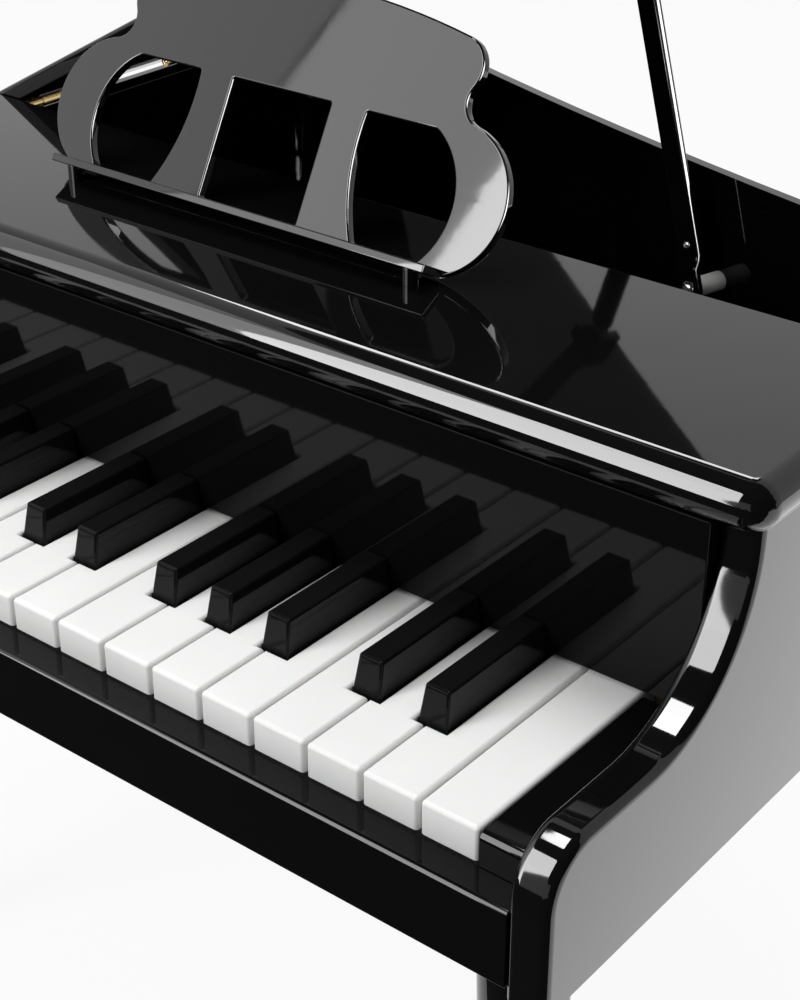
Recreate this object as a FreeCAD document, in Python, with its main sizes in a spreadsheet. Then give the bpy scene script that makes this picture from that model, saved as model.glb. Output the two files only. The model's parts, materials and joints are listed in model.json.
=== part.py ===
import FreeCAD, Part
import math
import operator
import os
import types

import Sketcher
from FreeCAD import Placement, Rotation, Vector

# A toy baby grand piano with thirty keys, built as its separate pieces.
# X runs along the keyboard to the player's right and is zero at its middle,
# Y runs from the player to the tail, Z is up and zero on the floor.
# All lengths are in millimetres and all angles in degrees.

DIMENSIONS = (
    ("white_pitch", 23.0, "one white key with its gap"),
    ("key_gap", 1.0, "gap between two white keys"),
    ("white_height", 12.5, "front face of a white key"),
    ("shown_length", 88.7, "white key in front of the fallboard"),
    ("hidden_length", 10.0, "white key head behind the fallboard's face"),
    ("key_round", 1.6, "edge rounding of a white key"),
    ("black_setback", 33.3, "black key's front behind the white key's front"),
    ("black_height", 12.6, "black key above the white keys"),
    ("black_width", 11.75, "black key at the white keys' level"),
    ("black_top_width", 9.9, "black key across its top"),
    ("black_slot", 13.5, "room between the white keys for a black key"),
    ("black_crown_setback", 2.6, "black key's top edge behind its front foot"),
    ("black_round", 1.1, "edge rounding of a black key"),
    ("black_skirt", 6.0, "black key below the white keys' level"),
    ("black_clearance", 0.8, "black key to the fallboard"),
    ("key_height", 300.0, "white key tops above the floor"),
    ("key_dip", 6.0, "travel of a key's front"),
    ("tail_width", 9.5, "width of a key's tail"),
    ("tail_drop", 3.5, "top of the tail below the key tops"),
    ("tail_overlap", 6.0, "length of the tail inside the key's head"),
    ("tail_margin", 5.0, "end of the tail behind the hammer nose"),
    ("pivot_reach", 105.0, "key pivot behind the key fronts"),
    ("pivot_diameter", 4.0, "key pivot rod"),
    ("pivot_clearance", 0.06, "running clearance round the pivot rod"),
    ("hammer_reach", 175.0, "hammer nose behind the key fronts"),
    ("hammer_half", 4.0, "half of the hammer nose, front to back"),
    ("hammer_bevel", 2.5, "bevels of the hammer nose"),
    ("hammer_foot", 3.5, "straight foot of the hammer nose above the tail"),
    ("case_drop", 46.0, "underside of the case below the key tops"),
    ("wall_rise", 72.0, "top of the walls above the key tops"),
    ("side_thickness", 15.0, "left and right sides"),
    ("cheek_width", 19.5, "last white key to the side"),
    ("cheek_clearance", 0.3, "last white key's pitch to the cheek block"),
    ("rim_thickness", 5.0, "bent side"),
    ("nose_reach", 13.3, "arm's nose in front of the key fronts"),
    ("nose_radius", 20.5, "round nose of the arm"),
    ("arm_rise", 12.6, "arm top above the key tops"),
    ("cove_start", 38.0, "start of the arm's cove behind the key fronts"),
    ("cove_radius", 56.0, "cove between arm and wall"),
    ("arm_round", 3.5, "edge rounding of the arm"),
    ("spine_reach", 385.0, "straight left side behind the key fronts"),
    ("tail_radius", 65.0, "round tail of the case"),
    ("tail_angle", 22.0, "slope of the bent side where the tail ends"),
    ("bend_angle", 14.0, "slope of the bent side where the shoulder starts"),
    ("shoulder_radius", 80.0, "round shoulder at the right"),
    ("bottom_thickness", 6.0, "bottom board"),
    ("board_fit", 0.2, "bottom board to the bent side"),
    ("slip_reach", 12.7, "key slip's face in front of the key fronts"),
    ("slip_drop", 12.8, "key slip's top below the key tops"),
    ("slip_clearance", 1.0, "key slip to the key fronts"),
    ("slip_round", 2.0, "front edge of the key slip"),
    ("slip_lift", 4.1, "key slip's underside above the case's underside"),
    ("cheek_round", 3.0, "front edge of the cheek blocks"),
    ("fallboard_thickness", 8.0, "fallboard"),
    ("fallboard_lift", 1.5, "fallboard above the white keys"),
    ("top_thickness", 17.5, "top board"),
    ("top_overhang", 5.3, "top board past the sides"),
    ("top_front_reach", 84.8, "top board's nose behind the key fronts"),
    ("top_back_reach", 202.4, "top board's back behind the key fronts"),
    ("top_corner", 10.0, "corners of the top board in plan"),
    ("top_land", 0.6, "flat left between the top board's two roundings"),
    ("rail_depth", 14.0, "front, balance and back rails, front to back"),
    ("front_rail_reach", 6.0, "front rail behind the key fronts"),
    ("back_rail_reach", 158.0, "back rail behind the key fronts"),
    ("balance_gap", 2.5, "balance rail below the key tails"),
    ("balance_post", 4.0, "balance rail's end posts above the rod's middle"),
    ("felt_thickness", 2.5, "felt strips on the rails"),
    ("felt_gap", 0.3, "key to felt, at rest or pressed"),
    ("rod_diameter", 3.0, "tone rod"),
    ("rod_seat", 8.0, "tone rod inside the tone bar"),
    ("rod_fit", 0.02, "tone rod in its hole"),
    ("rod_longest", 186.0, "lowest tone rod behind the bar"),
    ("rod_shortest", 70.0, "highest tone rod behind the bar"),
    ("strike_gap", 0.6, "raised hammer to tone rod"),
    ("bar_reach", 146.0, "tone bar behind the key fronts"),
    ("bar_depth", 16.0, "tone bar, front to back"),
    ("bar_height", 13.0, "tone bar"),
    ("bar_margin", 9.0, "tone bar past the outer tone rods"),
    ("beam_height", 24.0, "cross beam above the tone bar"),
    ("beam_lap", 4.0, "cross beam past the tone bar, front and back"),
    ("screw_diameter", 4.0, "tone bar screws and prop screw"),
    ("screw_head", 8.0, "screw heads"),
    ("screw_head_height", 2.2, "screw heads"),
    ("screw_depth", 14.0, "bar screw inside the cross beam"),
    ("screw_setback", 4.5, "bar screws behind the bar's front"),
    ("lid_thickness", 8.0, "lid"),
    ("lid_angle", 28.0, "lid as it stands on its prop"),
    ("lid_gap", 1.0, "lid to the top board"),
    ("lid_inset", 0.3, "lid inside the case's outline"),
    ("lid_round", 2.2, "edges of the lid"),
    ("knuckle_radius", 2.5, "hinge knuckle"),
    ("hinge_clearance", 0.3, "hinge knuckle to its neighbours"),
    ("hinge_pin_diameter", 2.0, "hinge pin"),
    ("hinge_pin_clearance", 0.05, "running clearance of the hinge pin"),
    ("leaf_thickness", 1.2, "hinge leaves"),
    ("leaf_length", 45.0, "hinge leaves along the lid"),
    ("leaf_height", 16.0, "case leaf below the pin"),
    ("lid_leaf_height", 7.0, "lid leaf above the pin"),
    ("prop_bearing", 16.5, "slope of the bent side at the prop"),
    ("prop_rise", 22.5, "prop pivot above the key tops"),
    ("prop_lean_angle", 20.0, "prop from upright, to the left"),
    ("prop_width", 13.0, "prop bar"),
    ("prop_thickness", 3.8, "prop bar"),
    ("prop_joggle", 3.1, "side step of the prop's foot"),
    ("joggle_start", 9.2, "joggle above the pivot"),
    ("joggle_length", 4.3, "joggle along the bar"),
    ("prop_end_land", 0.4, "flat left at the round ends of the prop"),
    ("prop_clearance", 1.2, "prop's tip to its cup"),
    ("prop_hole_clearance", 0.06, "running clearance of the prop screw"),
    ("spacer_diameter", 9.0, "prop spacer"),
    ("spacer_length", 15.4, "prop spacer"),
    ("cup_thickness", 4.0, "prop cup's pad under the lid"),
    ("cup_lip", 6.0, "prop cup's lip below its pad"),
    ("cup_lip_width", 5.0, "prop cup's lip along the lid"),
    ("cup_lead", 5.0, "prop cup's pad left of the prop's tip"),
    ("cup_front", 9.6, "prop cup in front of the prop's middle"),
    ("cup_back", 4.4, "prop cup behind the prop's middle"),
    ("desk_setback", 51.4, "music desk's foot in front of the top board's back"),
    ("desk_offset", 22.8, "music desk's middle left of the case's middle"),
    ("desk_lift", 2.3, "music desk's foot above the top board"),
    ("desk_tilt", 28.2, "music desk from upright"),
    ("desk_thickness", 4.2, "music desk plate"),
    ("desk_width", 194.5, "music desk's ledge"),
    ("desk_foot_inset", 3.2, "plate's foot inside the ledge's ends"),
    ("desk_bulge_radius", 29.0, "lower lobes of the music desk"),
    ("desk_waist_rise", 56.4, "waist above the foot"),
    ("desk_waist_inset", 4.7, "waist inside the ledge's ends"),
    ("desk_waist_radius", 8.9, "hollow at the waist"),
    ("desk_lobe_radius", 12.0, "upper lobes"),
    ("desk_crest_radius", 391.0, "arched top edge"),
    ("desk_waist_angle", 78.0, "slope of the lower lobe at the waist"),
    ("desk_flare_angle", 30.0, "slope where the upper lobe starts"),
    ("desk_lobe_end_angle", 12.3, "slope where the arched top starts"),
    ("desk_band", 3.2, "plate left below its openings"),
    ("desk_opening_rise", 52.0, "top of the three openings above the foot"),
    ("desk_window_foot_inner", 52.8, "side openings' inner corners from the middle, below"),
    ("desk_window_foot_outer", 84.6, "side openings' outer corners from the middle, below"),
    ("desk_window_head_inner", 43.0, "side openings' inner corners from the middle, above"),
    ("desk_window_head_outer", 76.3, "side openings' outer corners from the middle, above"),
    ("desk_window_inner_radius", 83.5, "inner side of the side openings"),
    ("desk_window_outer_radius", 31.3, "outer side of the side openings"),
    ("desk_slot_half", 25.5, "half width of the middle opening"),
    ("ledge_depth", 12.4, "ledge in front of the plate"),
    ("ledge_thickness", 3.2, "ledge"),
        ("ledge_round", 0.6, "edges of the ledge"),
    ("peg_diameter", 7.0, "pegs under the ledge"),
    ("peg_inset", 9.0, "pegs from the ledge's ends"),
    ("peg_depth", 10.0, "pegs inside the top board"),
    ("peg_fit", 0.02, "pegs in their holes"),
    ("leg_top_radius", 21.0, "leg's top collar"),
    ("leg_collar_height", 16.0, "leg's top collar"),
    ("leg_neck_radius", 15.0, "leg below the collar"),
    ("leg_ring_radius", 18.0, "ring below the neck"),
    ("leg_ring_height", 7.0, "ring and neck, each"),
    ("leg_body_radius", 17.0, "leg's widest taper"),
    ("leg_foot_radius", 11.0, "leg's foot"),
    ("leg_tenon_radius", 8.0, "leg's tenon"),
    ("leg_tenon_height", 5.0, "leg's tenon in the bottom board"),
    ("leg_tenon_fit", 0.05, "leg's tenon in its hole"),
    ("front_leg_inset", 46.0, "front legs from the outer faces"),
    ("front_leg_reach", 44.0, "front legs behind the key fronts"),
    ("rear_leg_side", 92.0, "rear leg left of the middle"),
    ("rear_leg_reach", 366.0, "rear leg behind the key fronts"),
    ("pad_radius", 12.0, "foot pads"),
    ("pad_thickness", 4.0, "foot pads"),
    ("overrun", 5.0, "cutting tools past the faces they cut"),
)
WHITE_COUNT = 18
SCREW_COUNT = 5
HINGE_PLACE_SHARES = (0.18, 0.82)
THIRD_SHARE = 1 / 3
TOUCHING = 1e-4

doc = FreeCAD.newDocument("ToyPiano")
sheet = doc.addObject("Spreadsheet::Sheet", "Dims")
sheet.Label = "driving dimensions"
for row, (alias, value, note) in enumerate(DIMENSIONS, start=1):
    sheet.set(f"A{row}", note)
    sheet.set(f"B{row}", str(value))
    sheet.setAlias(f"B{row}", alias)
doc.recompute()


# Sizes
class Size:
    """A number together with the formula that ties it to the sheet."""

    def __init__(self, number, formula):
        self.number = number
        self.formula = formula

    def __add__(self, other):
        return joined(operator.add, "+", self, other)

    def __radd__(self, other):
        return joined(operator.add, "+", other, self)

    def __sub__(self, other):
        return joined(operator.sub, "-", self, other)

    def __rsub__(self, other):
        return joined(operator.sub, "-", other, self)

    def __mul__(self, other):
        return joined(operator.mul, "*", self, other)

    def __rmul__(self, other):
        return joined(operator.mul, "*", other, self)

    def __truediv__(self, other):
        return joined(operator.truediv, "/", self, other)

    def __neg__(self):
        return Size(-self.number, f"(-{self.formula})")


def number(size):
    return size.number if isinstance(size, Size) else float(size)


def formula(size):
    return size.formula if isinstance(size, Size) else f"({size})"


def joined(sum_of, sign, first, second):
    return Size(sum_of(number(first), number(second)), f"({formula(first)} {sign} {formula(second)})")


def sine(angle):
    return Size(math.sin(math.radians(angle.number)), f"sin({angle.formula} * 1 deg)")


def cosine(angle):
    return Size(math.cos(math.radians(angle.number)), f"cos({angle.formula} * 1 deg)")


def tangent(angle):
    return sine(angle) / cosine(angle)


ZERO = Size(0, "0")
d = types.SimpleNamespace()
for alias, value, note in DIMENSIONS:
    setattr(d, alias, Size(float(sheet.get(alias)), f"Dims.{alias}"))


# Document helpers
def bind(thing, sizes):
    for name, size in sizes.items():
        thing.setExpression(name, formula(size))


def place(thing, x=0, y=0, z=0):
    bind(thing, {"Placement.Base.x": x, "Placement.Base.y": y, "Placement.Base.z": z})
    return thing


def turned(thing, point, rotation):
    thing.Placement = Placement(Vector(*[number(part) for part in point]), rotation)
    return thing


def named(thing, label):
    thing.Label = label
    pieces.append(thing)
    return thing


def box(name, x, y, z, width, depth, height):
    made = doc.addObject("Part::Box", name)
    bind(made, {"Length": width, "Width": depth, "Height": height})
    return place(made, x, y, z)


def rod(name, point, radius, length, along="Z"):
    made = doc.addObject("Part::Cylinder", name)
    bind(made, {"Radius": radius, "Height": length})
    turns = {"X": Rotation(Vector(0, 1, 0), 90), "Y": Rotation(Vector(1, 0, 0), -90), "Z": Rotation()}
    made.Placement = Placement(Vector(), turns[along])
    return place(made, *point)


def group(label, members):
    made = doc.addObject("Part::Compound", label)
    made.Links = members
    return made


def fused(label, members):
    made = doc.addObject("Part::MultiFuse", label)
    made.Shapes = members
    return made


def cut(label, base, tool):
    made = doc.addObject("Part::Cut", label)
    made.Base = base
    made.Tool = tool
    return made


def new_body(name):
    return doc.addObject("PartDesign::Body", name)


def arc_between(start, end, radius):
    """Arc from start to end that turns left for a positive radius and right for a negative one."""
    chord = end - start
    half = chord.Length / 2
    rise = math.sqrt(max(radius * radius - half * half, 0))
    left = Vector(-chord.y, chord.x, 0).normalize()
    centre = (start + end) / 2 + left * math.copysign(rise, radius)
    first, last = (start, end) if radius > 0 else (end, start)
    begin = math.atan2(first.y - centre.y, first.x - centre.x)
    finish = math.atan2(last.y - centre.y, last.x - centre.x)
    circle = Part.Circle(centre, Vector(0, 0, 1), abs(radius))
    return Part.ArcOfCircle(circle, begin, finish)


def draw_loop(sketch, loop):
    """Closed outline: each corner is (u, v), or (u, v, radius) where an arc leads to the next one."""
    spots = [Vector(number(corner[0]), number(corner[1]), 0) for corner in loop]
    first = sketch.GeometryCount
    ends = []
    shapes = []
    rules = []
    formulas = []
    for index, corner in enumerate(loop):
        start = spots[index]
        end = spots[(index + 1) % len(loop)]
        clockwise = len(corner) == 3 and number(corner[2]) < 0
        ends.append((2, 1) if clockwise else (1, 2))
        if len(corner) == 3:
            shapes.append(arc_between(start, end, number(corner[2])))
        else:
            shapes.append(Part.LineSegment(start, end))
    for index, corner in enumerate(loop):
        line = first + index
        following = (index + 1) % len(loop)
        start_end, far_end = ends[index]
        rules.append(Sketcher.Constraint("Coincident", line, far_end, first + following, ends[following][0]))
        formulas.append(None)
        for rule, axis, part in (("DistanceX", -2, corner[0]), ("DistanceY", -1, corner[1])):
            if number(part) == 0:
                rules.append(Sketcher.Constraint("PointOnObject", line, start_end, axis))
                formulas.append(None)
            else:
                rules.append(Sketcher.Constraint(rule, -1, 1, line, start_end, number(part)))
                formulas.append(formula(part))
        if len(corner) == 3:
            size = corner[2] if number(corner[2]) > 0 else -corner[2]
            rules.append(Sketcher.Constraint("Radius", line, number(size)))
            formulas.append(formula(size))
    count = sketch.ConstraintCount
    sketch.addGeometry(shapes, False)
    sketch.addConstraint(rules)
    for index, text in enumerate(formulas):
        if text:
            sketch.setExpression(f"Constraints[{count + index}]", text)


def draw_circle(sketch, u, v, radius):
    spot = Vector(number(u), number(v), 0)
    line = sketch.addGeometry(Part.Circle(spot, Vector(0, 0, 1), number(radius)), False)
    for rule, part in (("DistanceX", u), ("DistanceY", v)):
        index = sketch.addConstraint(Sketcher.Constraint(rule, -1, 1, line, 3, number(part)))
        sketch.setExpression(f"Constraints[{index}]", formula(part))
    index = sketch.addConstraint(Sketcher.Constraint("Radius", line, number(radius)))
    sketch.setExpression(f"Constraints[{index}]", formula(radius))


def draw(body, role, loops, lift=0):
    """Sketch on one of the body's own planes, lifted along that plane's normal."""
    sketch = body.newObject("Sketcher::SketchObject", f"{body.Name}_sketch")
    plane = next(part for part in body.Origin.OriginFeatures if part.Role == role)
    sketch.AttachmentSupport = [(plane, "")]
    sketch.MapMode = "FlatFace"
    sketch.setExpression("AttachmentOffset.Base.z", formula(lift))
    for loop in loops:
        draw_loop(sketch, loop)
    return sketch


def pad(body, sketch, length):
    made = body.newObject("PartDesign::Pad", f"{body.Name}_pad")
    made.Profile = sketch
    bind(made, {"Length": length})
    return made


def round_edges(body, base, radius, wanted):
    """Rounds the edges of the last feature whose bounding box passes the test."""
    doc.recompute()
    names = [f"Edge{i}" for i, edge in enumerate(base.Shape.Edges, start=1) if wanted(edge.BoundBox)]
    made = body.newObject("PartDesign::Fillet", f"{body.Name}_fillet")
    made.Base = (base, names)
    bind(made, {"Radius": radius})
    return made


def near(first, second):
    return abs(first - number(second)) < TOUCHING


pieces = []

# Places that several pieces share
half_keys = d.white_pitch * WHITE_COUNT / 2
inner_half = half_keys + d.cheek_width
outer_half = inner_half + d.side_thickness
key_front = (d.nose_reach - d.spine_reach - d.tail_radius) / 2
key_top = d.key_height
case_bottom = key_top - d.case_drop
floor_of_case = case_bottom + d.bottom_thickness
wall_top = key_top + d.wall_rise
spine_end = key_front + d.spine_reach
pivot_drop = (d.white_height + d.tail_drop) / 2
tail_bottom = key_top - d.white_height
top_back = key_front + d.top_back_reach
top_surface = wall_top + d.top_thickness

# Bent side in plan: a shoulder, a long shallow hollow and a round tail, all tangent
tail_centre = (d.tail_radius - outer_half, spine_end)
hollow_start_x = tail_centre[0] + d.tail_radius * sine(d.tail_angle)
hollow_end_x = outer_half - d.shoulder_radius * (1 - sine(d.bend_angle))
hollow_radius = (hollow_end_x - hollow_start_x) / (sine(d.tail_angle) - sine(d.bend_angle))
hollow_start_y = tail_centre[1] + d.tail_radius * cosine(d.tail_angle)
hollow_centre = (
    hollow_start_x + hollow_radius * sine(d.tail_angle),
    hollow_start_y + hollow_radius * cosine(d.tail_angle),
)
hollow_end_y = hollow_centre[1] - hollow_radius * cosine(d.bend_angle)
right_end = hollow_end_y - d.shoulder_radius * cosine(d.bend_angle)
shoulder_centre = (outer_half - d.shoulder_radius, right_end)


def bent_line(inset):
    """Back of the case from right to left, a given depth inside its outer face."""
    shoulder = d.shoulder_radius - inset
    hollow = hollow_radius + inset
    tail = d.tail_radius - inset
    return [
        (outer_half - inset, right_end, shoulder),
        (
            shoulder_centre[0] + shoulder * sine(d.bend_angle),
            shoulder_centre[1] + shoulder * cosine(d.bend_angle),
            -hollow,
        ),
        (
            tail_centre[0] + tail * sine(d.tail_angle),
            tail_centre[1] + tail * cosine(d.tail_angle),
            tail,
        ),
        (inset - outer_half, spine_end),
    ]


def reversed_line(line):
    """The same run of corners and arcs, walked the other way."""
    spots = [corner[:2] for corner in line][::-1]
    radii = [-corner[2] for corner in line[:-1]][::-1]
    return [spot + (radius,) for spot, radius in zip(spots, radii)] + [spots[-1]]


# Keys
NOTES = "CDEFGAB"
GROUP_SIZES = {"C": 3, "D": 3, "E": 3, "F": 4, "G": 4, "A": 4, "B": 4}
GROUP_PLACES = {"C": 0, "D": 1, "E": 2, "F": 0, "G": 1, "A": 2, "B": 3}


def group_of(index):
    """Size of a white key's group between two gaps without black keys, and its place in that group."""
    note = NOTES[index % len(NOTES)]
    return GROUP_SIZES[note], GROUP_PLACES[note]


def rear_width(size):
    """White key between two black keys, in a group of that many white keys."""
    return (size * d.white_pitch - (size - 1) * d.black_slot) / size


def slot_start(index):
    """Left edge of the black key's room at the right of a white key, from that key's left edge."""
    size, step = group_of(index)
    return step * (rear_width(size) + d.black_slot - d.white_pitch) + rear_width(size)


def has_black(index):
    """Whether a black key stands at the right of a white key."""
    size, step = group_of(index)
    return step < size - 1 and index < WHITE_COUNT - 1


def rear_span(index):
    """Left and right edges of a white key behind the black keys' fronts."""
    left = d.key_gap / 2
    right = d.white_pitch - d.key_gap / 2
    if group_of(index)[1] > 0:
        left = slot_start(index - 1) + d.black_slot - d.white_pitch
    if has_black(index):
        right = slot_start(index)
    return left, right


def white_left(index):
    return index * d.white_pitch - half_keys


def black_middle(index):
    return white_left(index) + slot_start(index) + d.black_slot / 2


def tail_outline(start):
    """Side view of a key's tail: stick and hammer nose, from a place inside the key's head."""
    back = d.hammer_reach + d.hammer_half
    front = d.hammer_reach - d.hammer_half
    end = back + d.tail_margin
    foot = -d.white_height
    stick = -d.tail_drop
    nose = stick + d.hammer_foot
    return [
        (start, foot),
        (end, foot),
        (end, stick),
        (back, stick),
        (back, nose),
        (back - d.hammer_bevel, nose + d.hammer_bevel),
        (front + d.hammer_bevel, nose + d.hammer_bevel),
        (front, nose),
        (front, stick),
        (start, stick),
    ]


def add_tail(body, middle, start):
    sketch = draw(body, "YZ_Plane", [tail_outline(start)], middle - d.tail_width / 2)
    draw_circle(sketch, d.pivot_reach, -pivot_drop, d.pivot_diameter / 2 + d.pivot_clearance)
    pad(body, sketch, d.tail_width)


def white_key(index):
    left = d.key_gap / 2
    right = d.white_pitch - d.key_gap / 2
    notch = d.black_setback - d.key_gap
    back = d.shown_length + d.hidden_length
    rear_left, rear_right = rear_span(index)
    outline = [(left, 0), (right, 0)]
    if has_black(index):
        outline += [(right, notch), (rear_right, notch)]
    outline += [(rear_right, back), (rear_left, back)]
    if group_of(index)[1] > 0:
        outline += [(rear_left, notch), (left, notch)]
    body = new_body(f"white_key_{index + 1:02d}")
    head = pad(body, draw(body, "XY_Plane", [outline], -d.white_height), d.white_height)
    round_edges(
        body,
        head,
        d.key_round,
        lambda edge: (near(edge.ZMin, 0) and not near(edge.YMin, back))
        or (near(edge.YMax, 0) and near(edge.XMin, edge.XMax)),
    )
    add_tail(body, (rear_left + rear_right) / 2, back - d.tail_overlap)
    place(body, white_left(index), key_front, key_top)
    named(body, body.Name)


def black_key(count, index):
    """Black key at the right of the white key with that index."""
    half = d.black_width / 2
    half_top = d.black_top_width / 2
    front = d.black_setback
    crown = front + d.black_crown_setback
    back = d.shown_length - d.black_clearance
    body = new_body(f"black_key_{count:02d}")
    block = body.newObject("PartDesign::AdditiveWedge", f"{body.Name}_block")
    block.Placement = Placement(Vector(), Rotation(Vector(1, 0, 0), 90))
    bind(block, {"Xmin": -half, "Xmax": half, "X2min": -half_top, "X2max": half_top})
    bind(block, {"Zmin": -back, "Zmax": -front, "Z2min": -back, "Z2max": -crown})
    bind(block, {"Ymin": 0, "Ymax": d.black_height})
    round_edges(
        body,
        block,
        d.black_round,
        lambda edge: edge.ZMax > number(d.black_height) / 2 and not near(edge.YMin, back),
    )
    foot = [(-half, front), (half, front), (half, back), (-half, back)]
    pad(body, draw(body, "XY_Plane", [foot], -d.black_skirt), d.black_skirt)
    add_tail(body, ZERO, front)
    place(body, black_middle(index), key_front, key_top)
    named(body, body.Name)


# Where the tails lie, from the lowest note to the highest, for the tone rods above them
key_middles = []
black_count = 0
for index in range(WHITE_COUNT):
    white_key(index)
    rear_left, rear_right = rear_span(index)
    key_middles.append(white_left(index) + (rear_left + rear_right) / 2)
    if has_black(index):
        black_count += 1
        black_key(black_count, index)
        key_middles.append(black_middle(index))


# Case
def side(label, x, back):
    """Side of the case: round nose, flat arm, cove and wall, padded through its thickness."""
    nose = key_front - d.nose_reach
    arm = key_top + d.arm_rise
    cove = key_front + d.cove_start
    body = new_body(label)
    outline = [
        (nose, case_bottom),
        (back, case_bottom),
        (back, wall_top),
        (cove + d.cove_radius, wall_top),
        (cove + d.cove_radius, arm + d.cove_radius, -d.cove_radius),
        (cove, arm),
        (nose + d.nose_radius, arm, d.nose_radius),
        (nose, arm - d.nose_radius),
    ]
    panel = pad(body, draw(body, "YZ_Plane", [outline], x), d.side_thickness)
    limit = number(cove + d.cove_radius) + TOUCHING
    round_edges(
        body,
        panel,
        d.arm_round,
        lambda edge: near(edge.XMin, edge.XMax) and edge.YMax < limit and not near(edge.ZMax, case_bottom),
    )
    named(body, label)


side("right_side", inner_half, right_end)
side("left_side", -outer_half, spine_end)

rim = new_body("rim")
rim_outline = bent_line(ZERO) + reversed_line(bent_line(d.rim_thickness))
pad(rim, draw(rim, "XY_Plane", [rim_outline], case_bottom), d.case_drop + d.wall_rise)

board = new_body("board")
board_front = key_front - d.slip_clearance
board_outline = [(-inner_half, board_front), (inner_half, board_front), (inner_half, right_end)]
board_outline += bent_line(d.rim_thickness + d.board_fit) + [(-inner_half, spine_end)]
pad(board, draw(board, "XY_Plane", [board_outline], case_bottom), d.bottom_thickness)

leg_places = [
    (outer_half - d.front_leg_inset, key_front + d.front_leg_reach),
    (d.front_leg_inset - outer_half, key_front + d.front_leg_reach),
    (-d.rear_leg_side, key_front + d.rear_leg_reach),
]
tenon_holes = [
    rod(f"tenon_hole_{i}", (x, y, case_bottom - d.overrun), d.leg_tenon_radius + d.leg_tenon_fit,
        d.overrun + d.leg_tenon_height)
    for i, (x, y) in enumerate(leg_places, start=1)
]
named(cut("bottom_board", board, group("tenon_holes", tenon_holes)), "bottom_board")


cheek_from = half_keys + d.cheek_clearance
slip_front = key_front - d.slip_reach
slip_top = key_top - d.slip_drop
slip_bottom = case_bottom + d.slip_lift
slip = new_body("key_slip")
slip_outline = [
    (slip_front, slip_bottom),
    (board_front, slip_bottom),
    (board_front, slip_top),
    (slip_front + d.slip_round, slip_top, d.slip_round),
    (slip_front, slip_top - d.slip_round),
]
pad(slip, draw(slip, "YZ_Plane", [slip_outline], -inner_half), inner_half * 2)
named(slip, "key_slip")


def cheek(label, x):
    """Cheek block: stands on the bottom board behind the key slip and fills the keys' end."""
    back = key_front + d.shown_length
    body = new_body(label)
    outline = [
        (board_front, floor_of_case),
        (back, floor_of_case),
        (back, key_top),
        (board_front + d.cheek_round, key_top, d.cheek_round),
        (board_front, key_top - d.cheek_round),
    ]
    pad(body, draw(body, "YZ_Plane", [outline], x), d.cheek_width - d.cheek_clearance)
    return body


cheeks = [cheek("right_cheek", cheek_from), cheek("left_cheek", -inner_half)]
named(group("cheek_blocks", cheeks), "cheek_blocks")

named(
    box("fallboard", -inner_half, key_front + d.shown_length, key_top + d.fallboard_lift,
        inner_half * 2, d.fallboard_thickness, d.wall_rise - d.fallboard_lift),
    "fallboard",
)

top = new_body("top")
top_half = outer_half + d.top_overhang
top_front = key_front + d.top_front_reach
top_outline = [
    (top_half - d.top_corner, top_front, d.top_corner),
    (top_half, top_front + d.top_corner),
    (top_half, top_back),
    (-top_half, top_back),
    (-top_half, top_front + d.top_corner, d.top_corner),
    (d.top_corner - top_half, top_front),
]
top_pad = pad(top, draw(top, "XY_Plane", [top_outline], wall_top), d.top_thickness)
round_edges(
    top,
    top_pad,
    (d.top_thickness - d.top_land) / 2,
    lambda edge: near(edge.ZMin, edge.ZMax) and not near(edge.YMin, top_back),
)

# Key frame
front_rail_height = d.case_drop - d.bottom_thickness - d.white_height - d.felt_thickness - d.felt_gap
front_rail_height = front_rail_height - d.key_dip
front_rail_y = key_front + d.front_rail_reach
named(
    box("front_rail", -half_keys, front_rail_y, floor_of_case, half_keys * 2, d.rail_depth,
        front_rail_height),
    "front_rail",
)
back_rail_y = key_front + d.back_rail_reach
back_rail_height = d.case_drop - d.bottom_thickness - d.white_height - d.felt_thickness - d.felt_gap
named(
    box("back_rail", -inner_half, back_rail_y, floor_of_case, inner_half * 2, d.rail_depth,
        back_rail_height),
    "back_rail",
)
felts = [
    box("front_felt", -half_keys, front_rail_y, floor_of_case + front_rail_height,
        half_keys * 2, d.rail_depth, d.felt_thickness),
    box("back_felt", -half_keys, back_rail_y, floor_of_case + back_rail_height,
        half_keys * 2, d.rail_depth, d.felt_thickness),
]
named(group("key_felts", felts), "key_felts")

pivot_y = key_front + d.pivot_reach
pivot_z = key_top - pivot_drop
balance_y = pivot_y - d.rail_depth / 2
balance_top = tail_bottom - d.balance_gap
post_width = inner_half - cheek_from
balance = [
    box("balance_bar", -inner_half, balance_y, floor_of_case, inner_half * 2, d.rail_depth,
        balance_top - floor_of_case),
    box("right_post", cheek_from, balance_y, balance_top, post_width, d.rail_depth,
        pivot_z + d.balance_post - balance_top),
    box("left_post", -inner_half, balance_y, balance_top, post_width, d.rail_depth,
        pivot_z + d.balance_post - balance_top),
]
pivot_hole = rod("pivot_hole", (-inner_half, pivot_y, pivot_z), d.pivot_diameter / 2, inner_half * 2, "X")
named(cut("balance_rail", fused("balance_blank", balance), pivot_hole), "balance_rail")
named(
    rod("key_pivot_rod", (-inner_half, pivot_y, pivot_z), d.pivot_diameter / 2, inner_half * 2, "X"),
    "key_pivot_rod",
)

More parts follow.
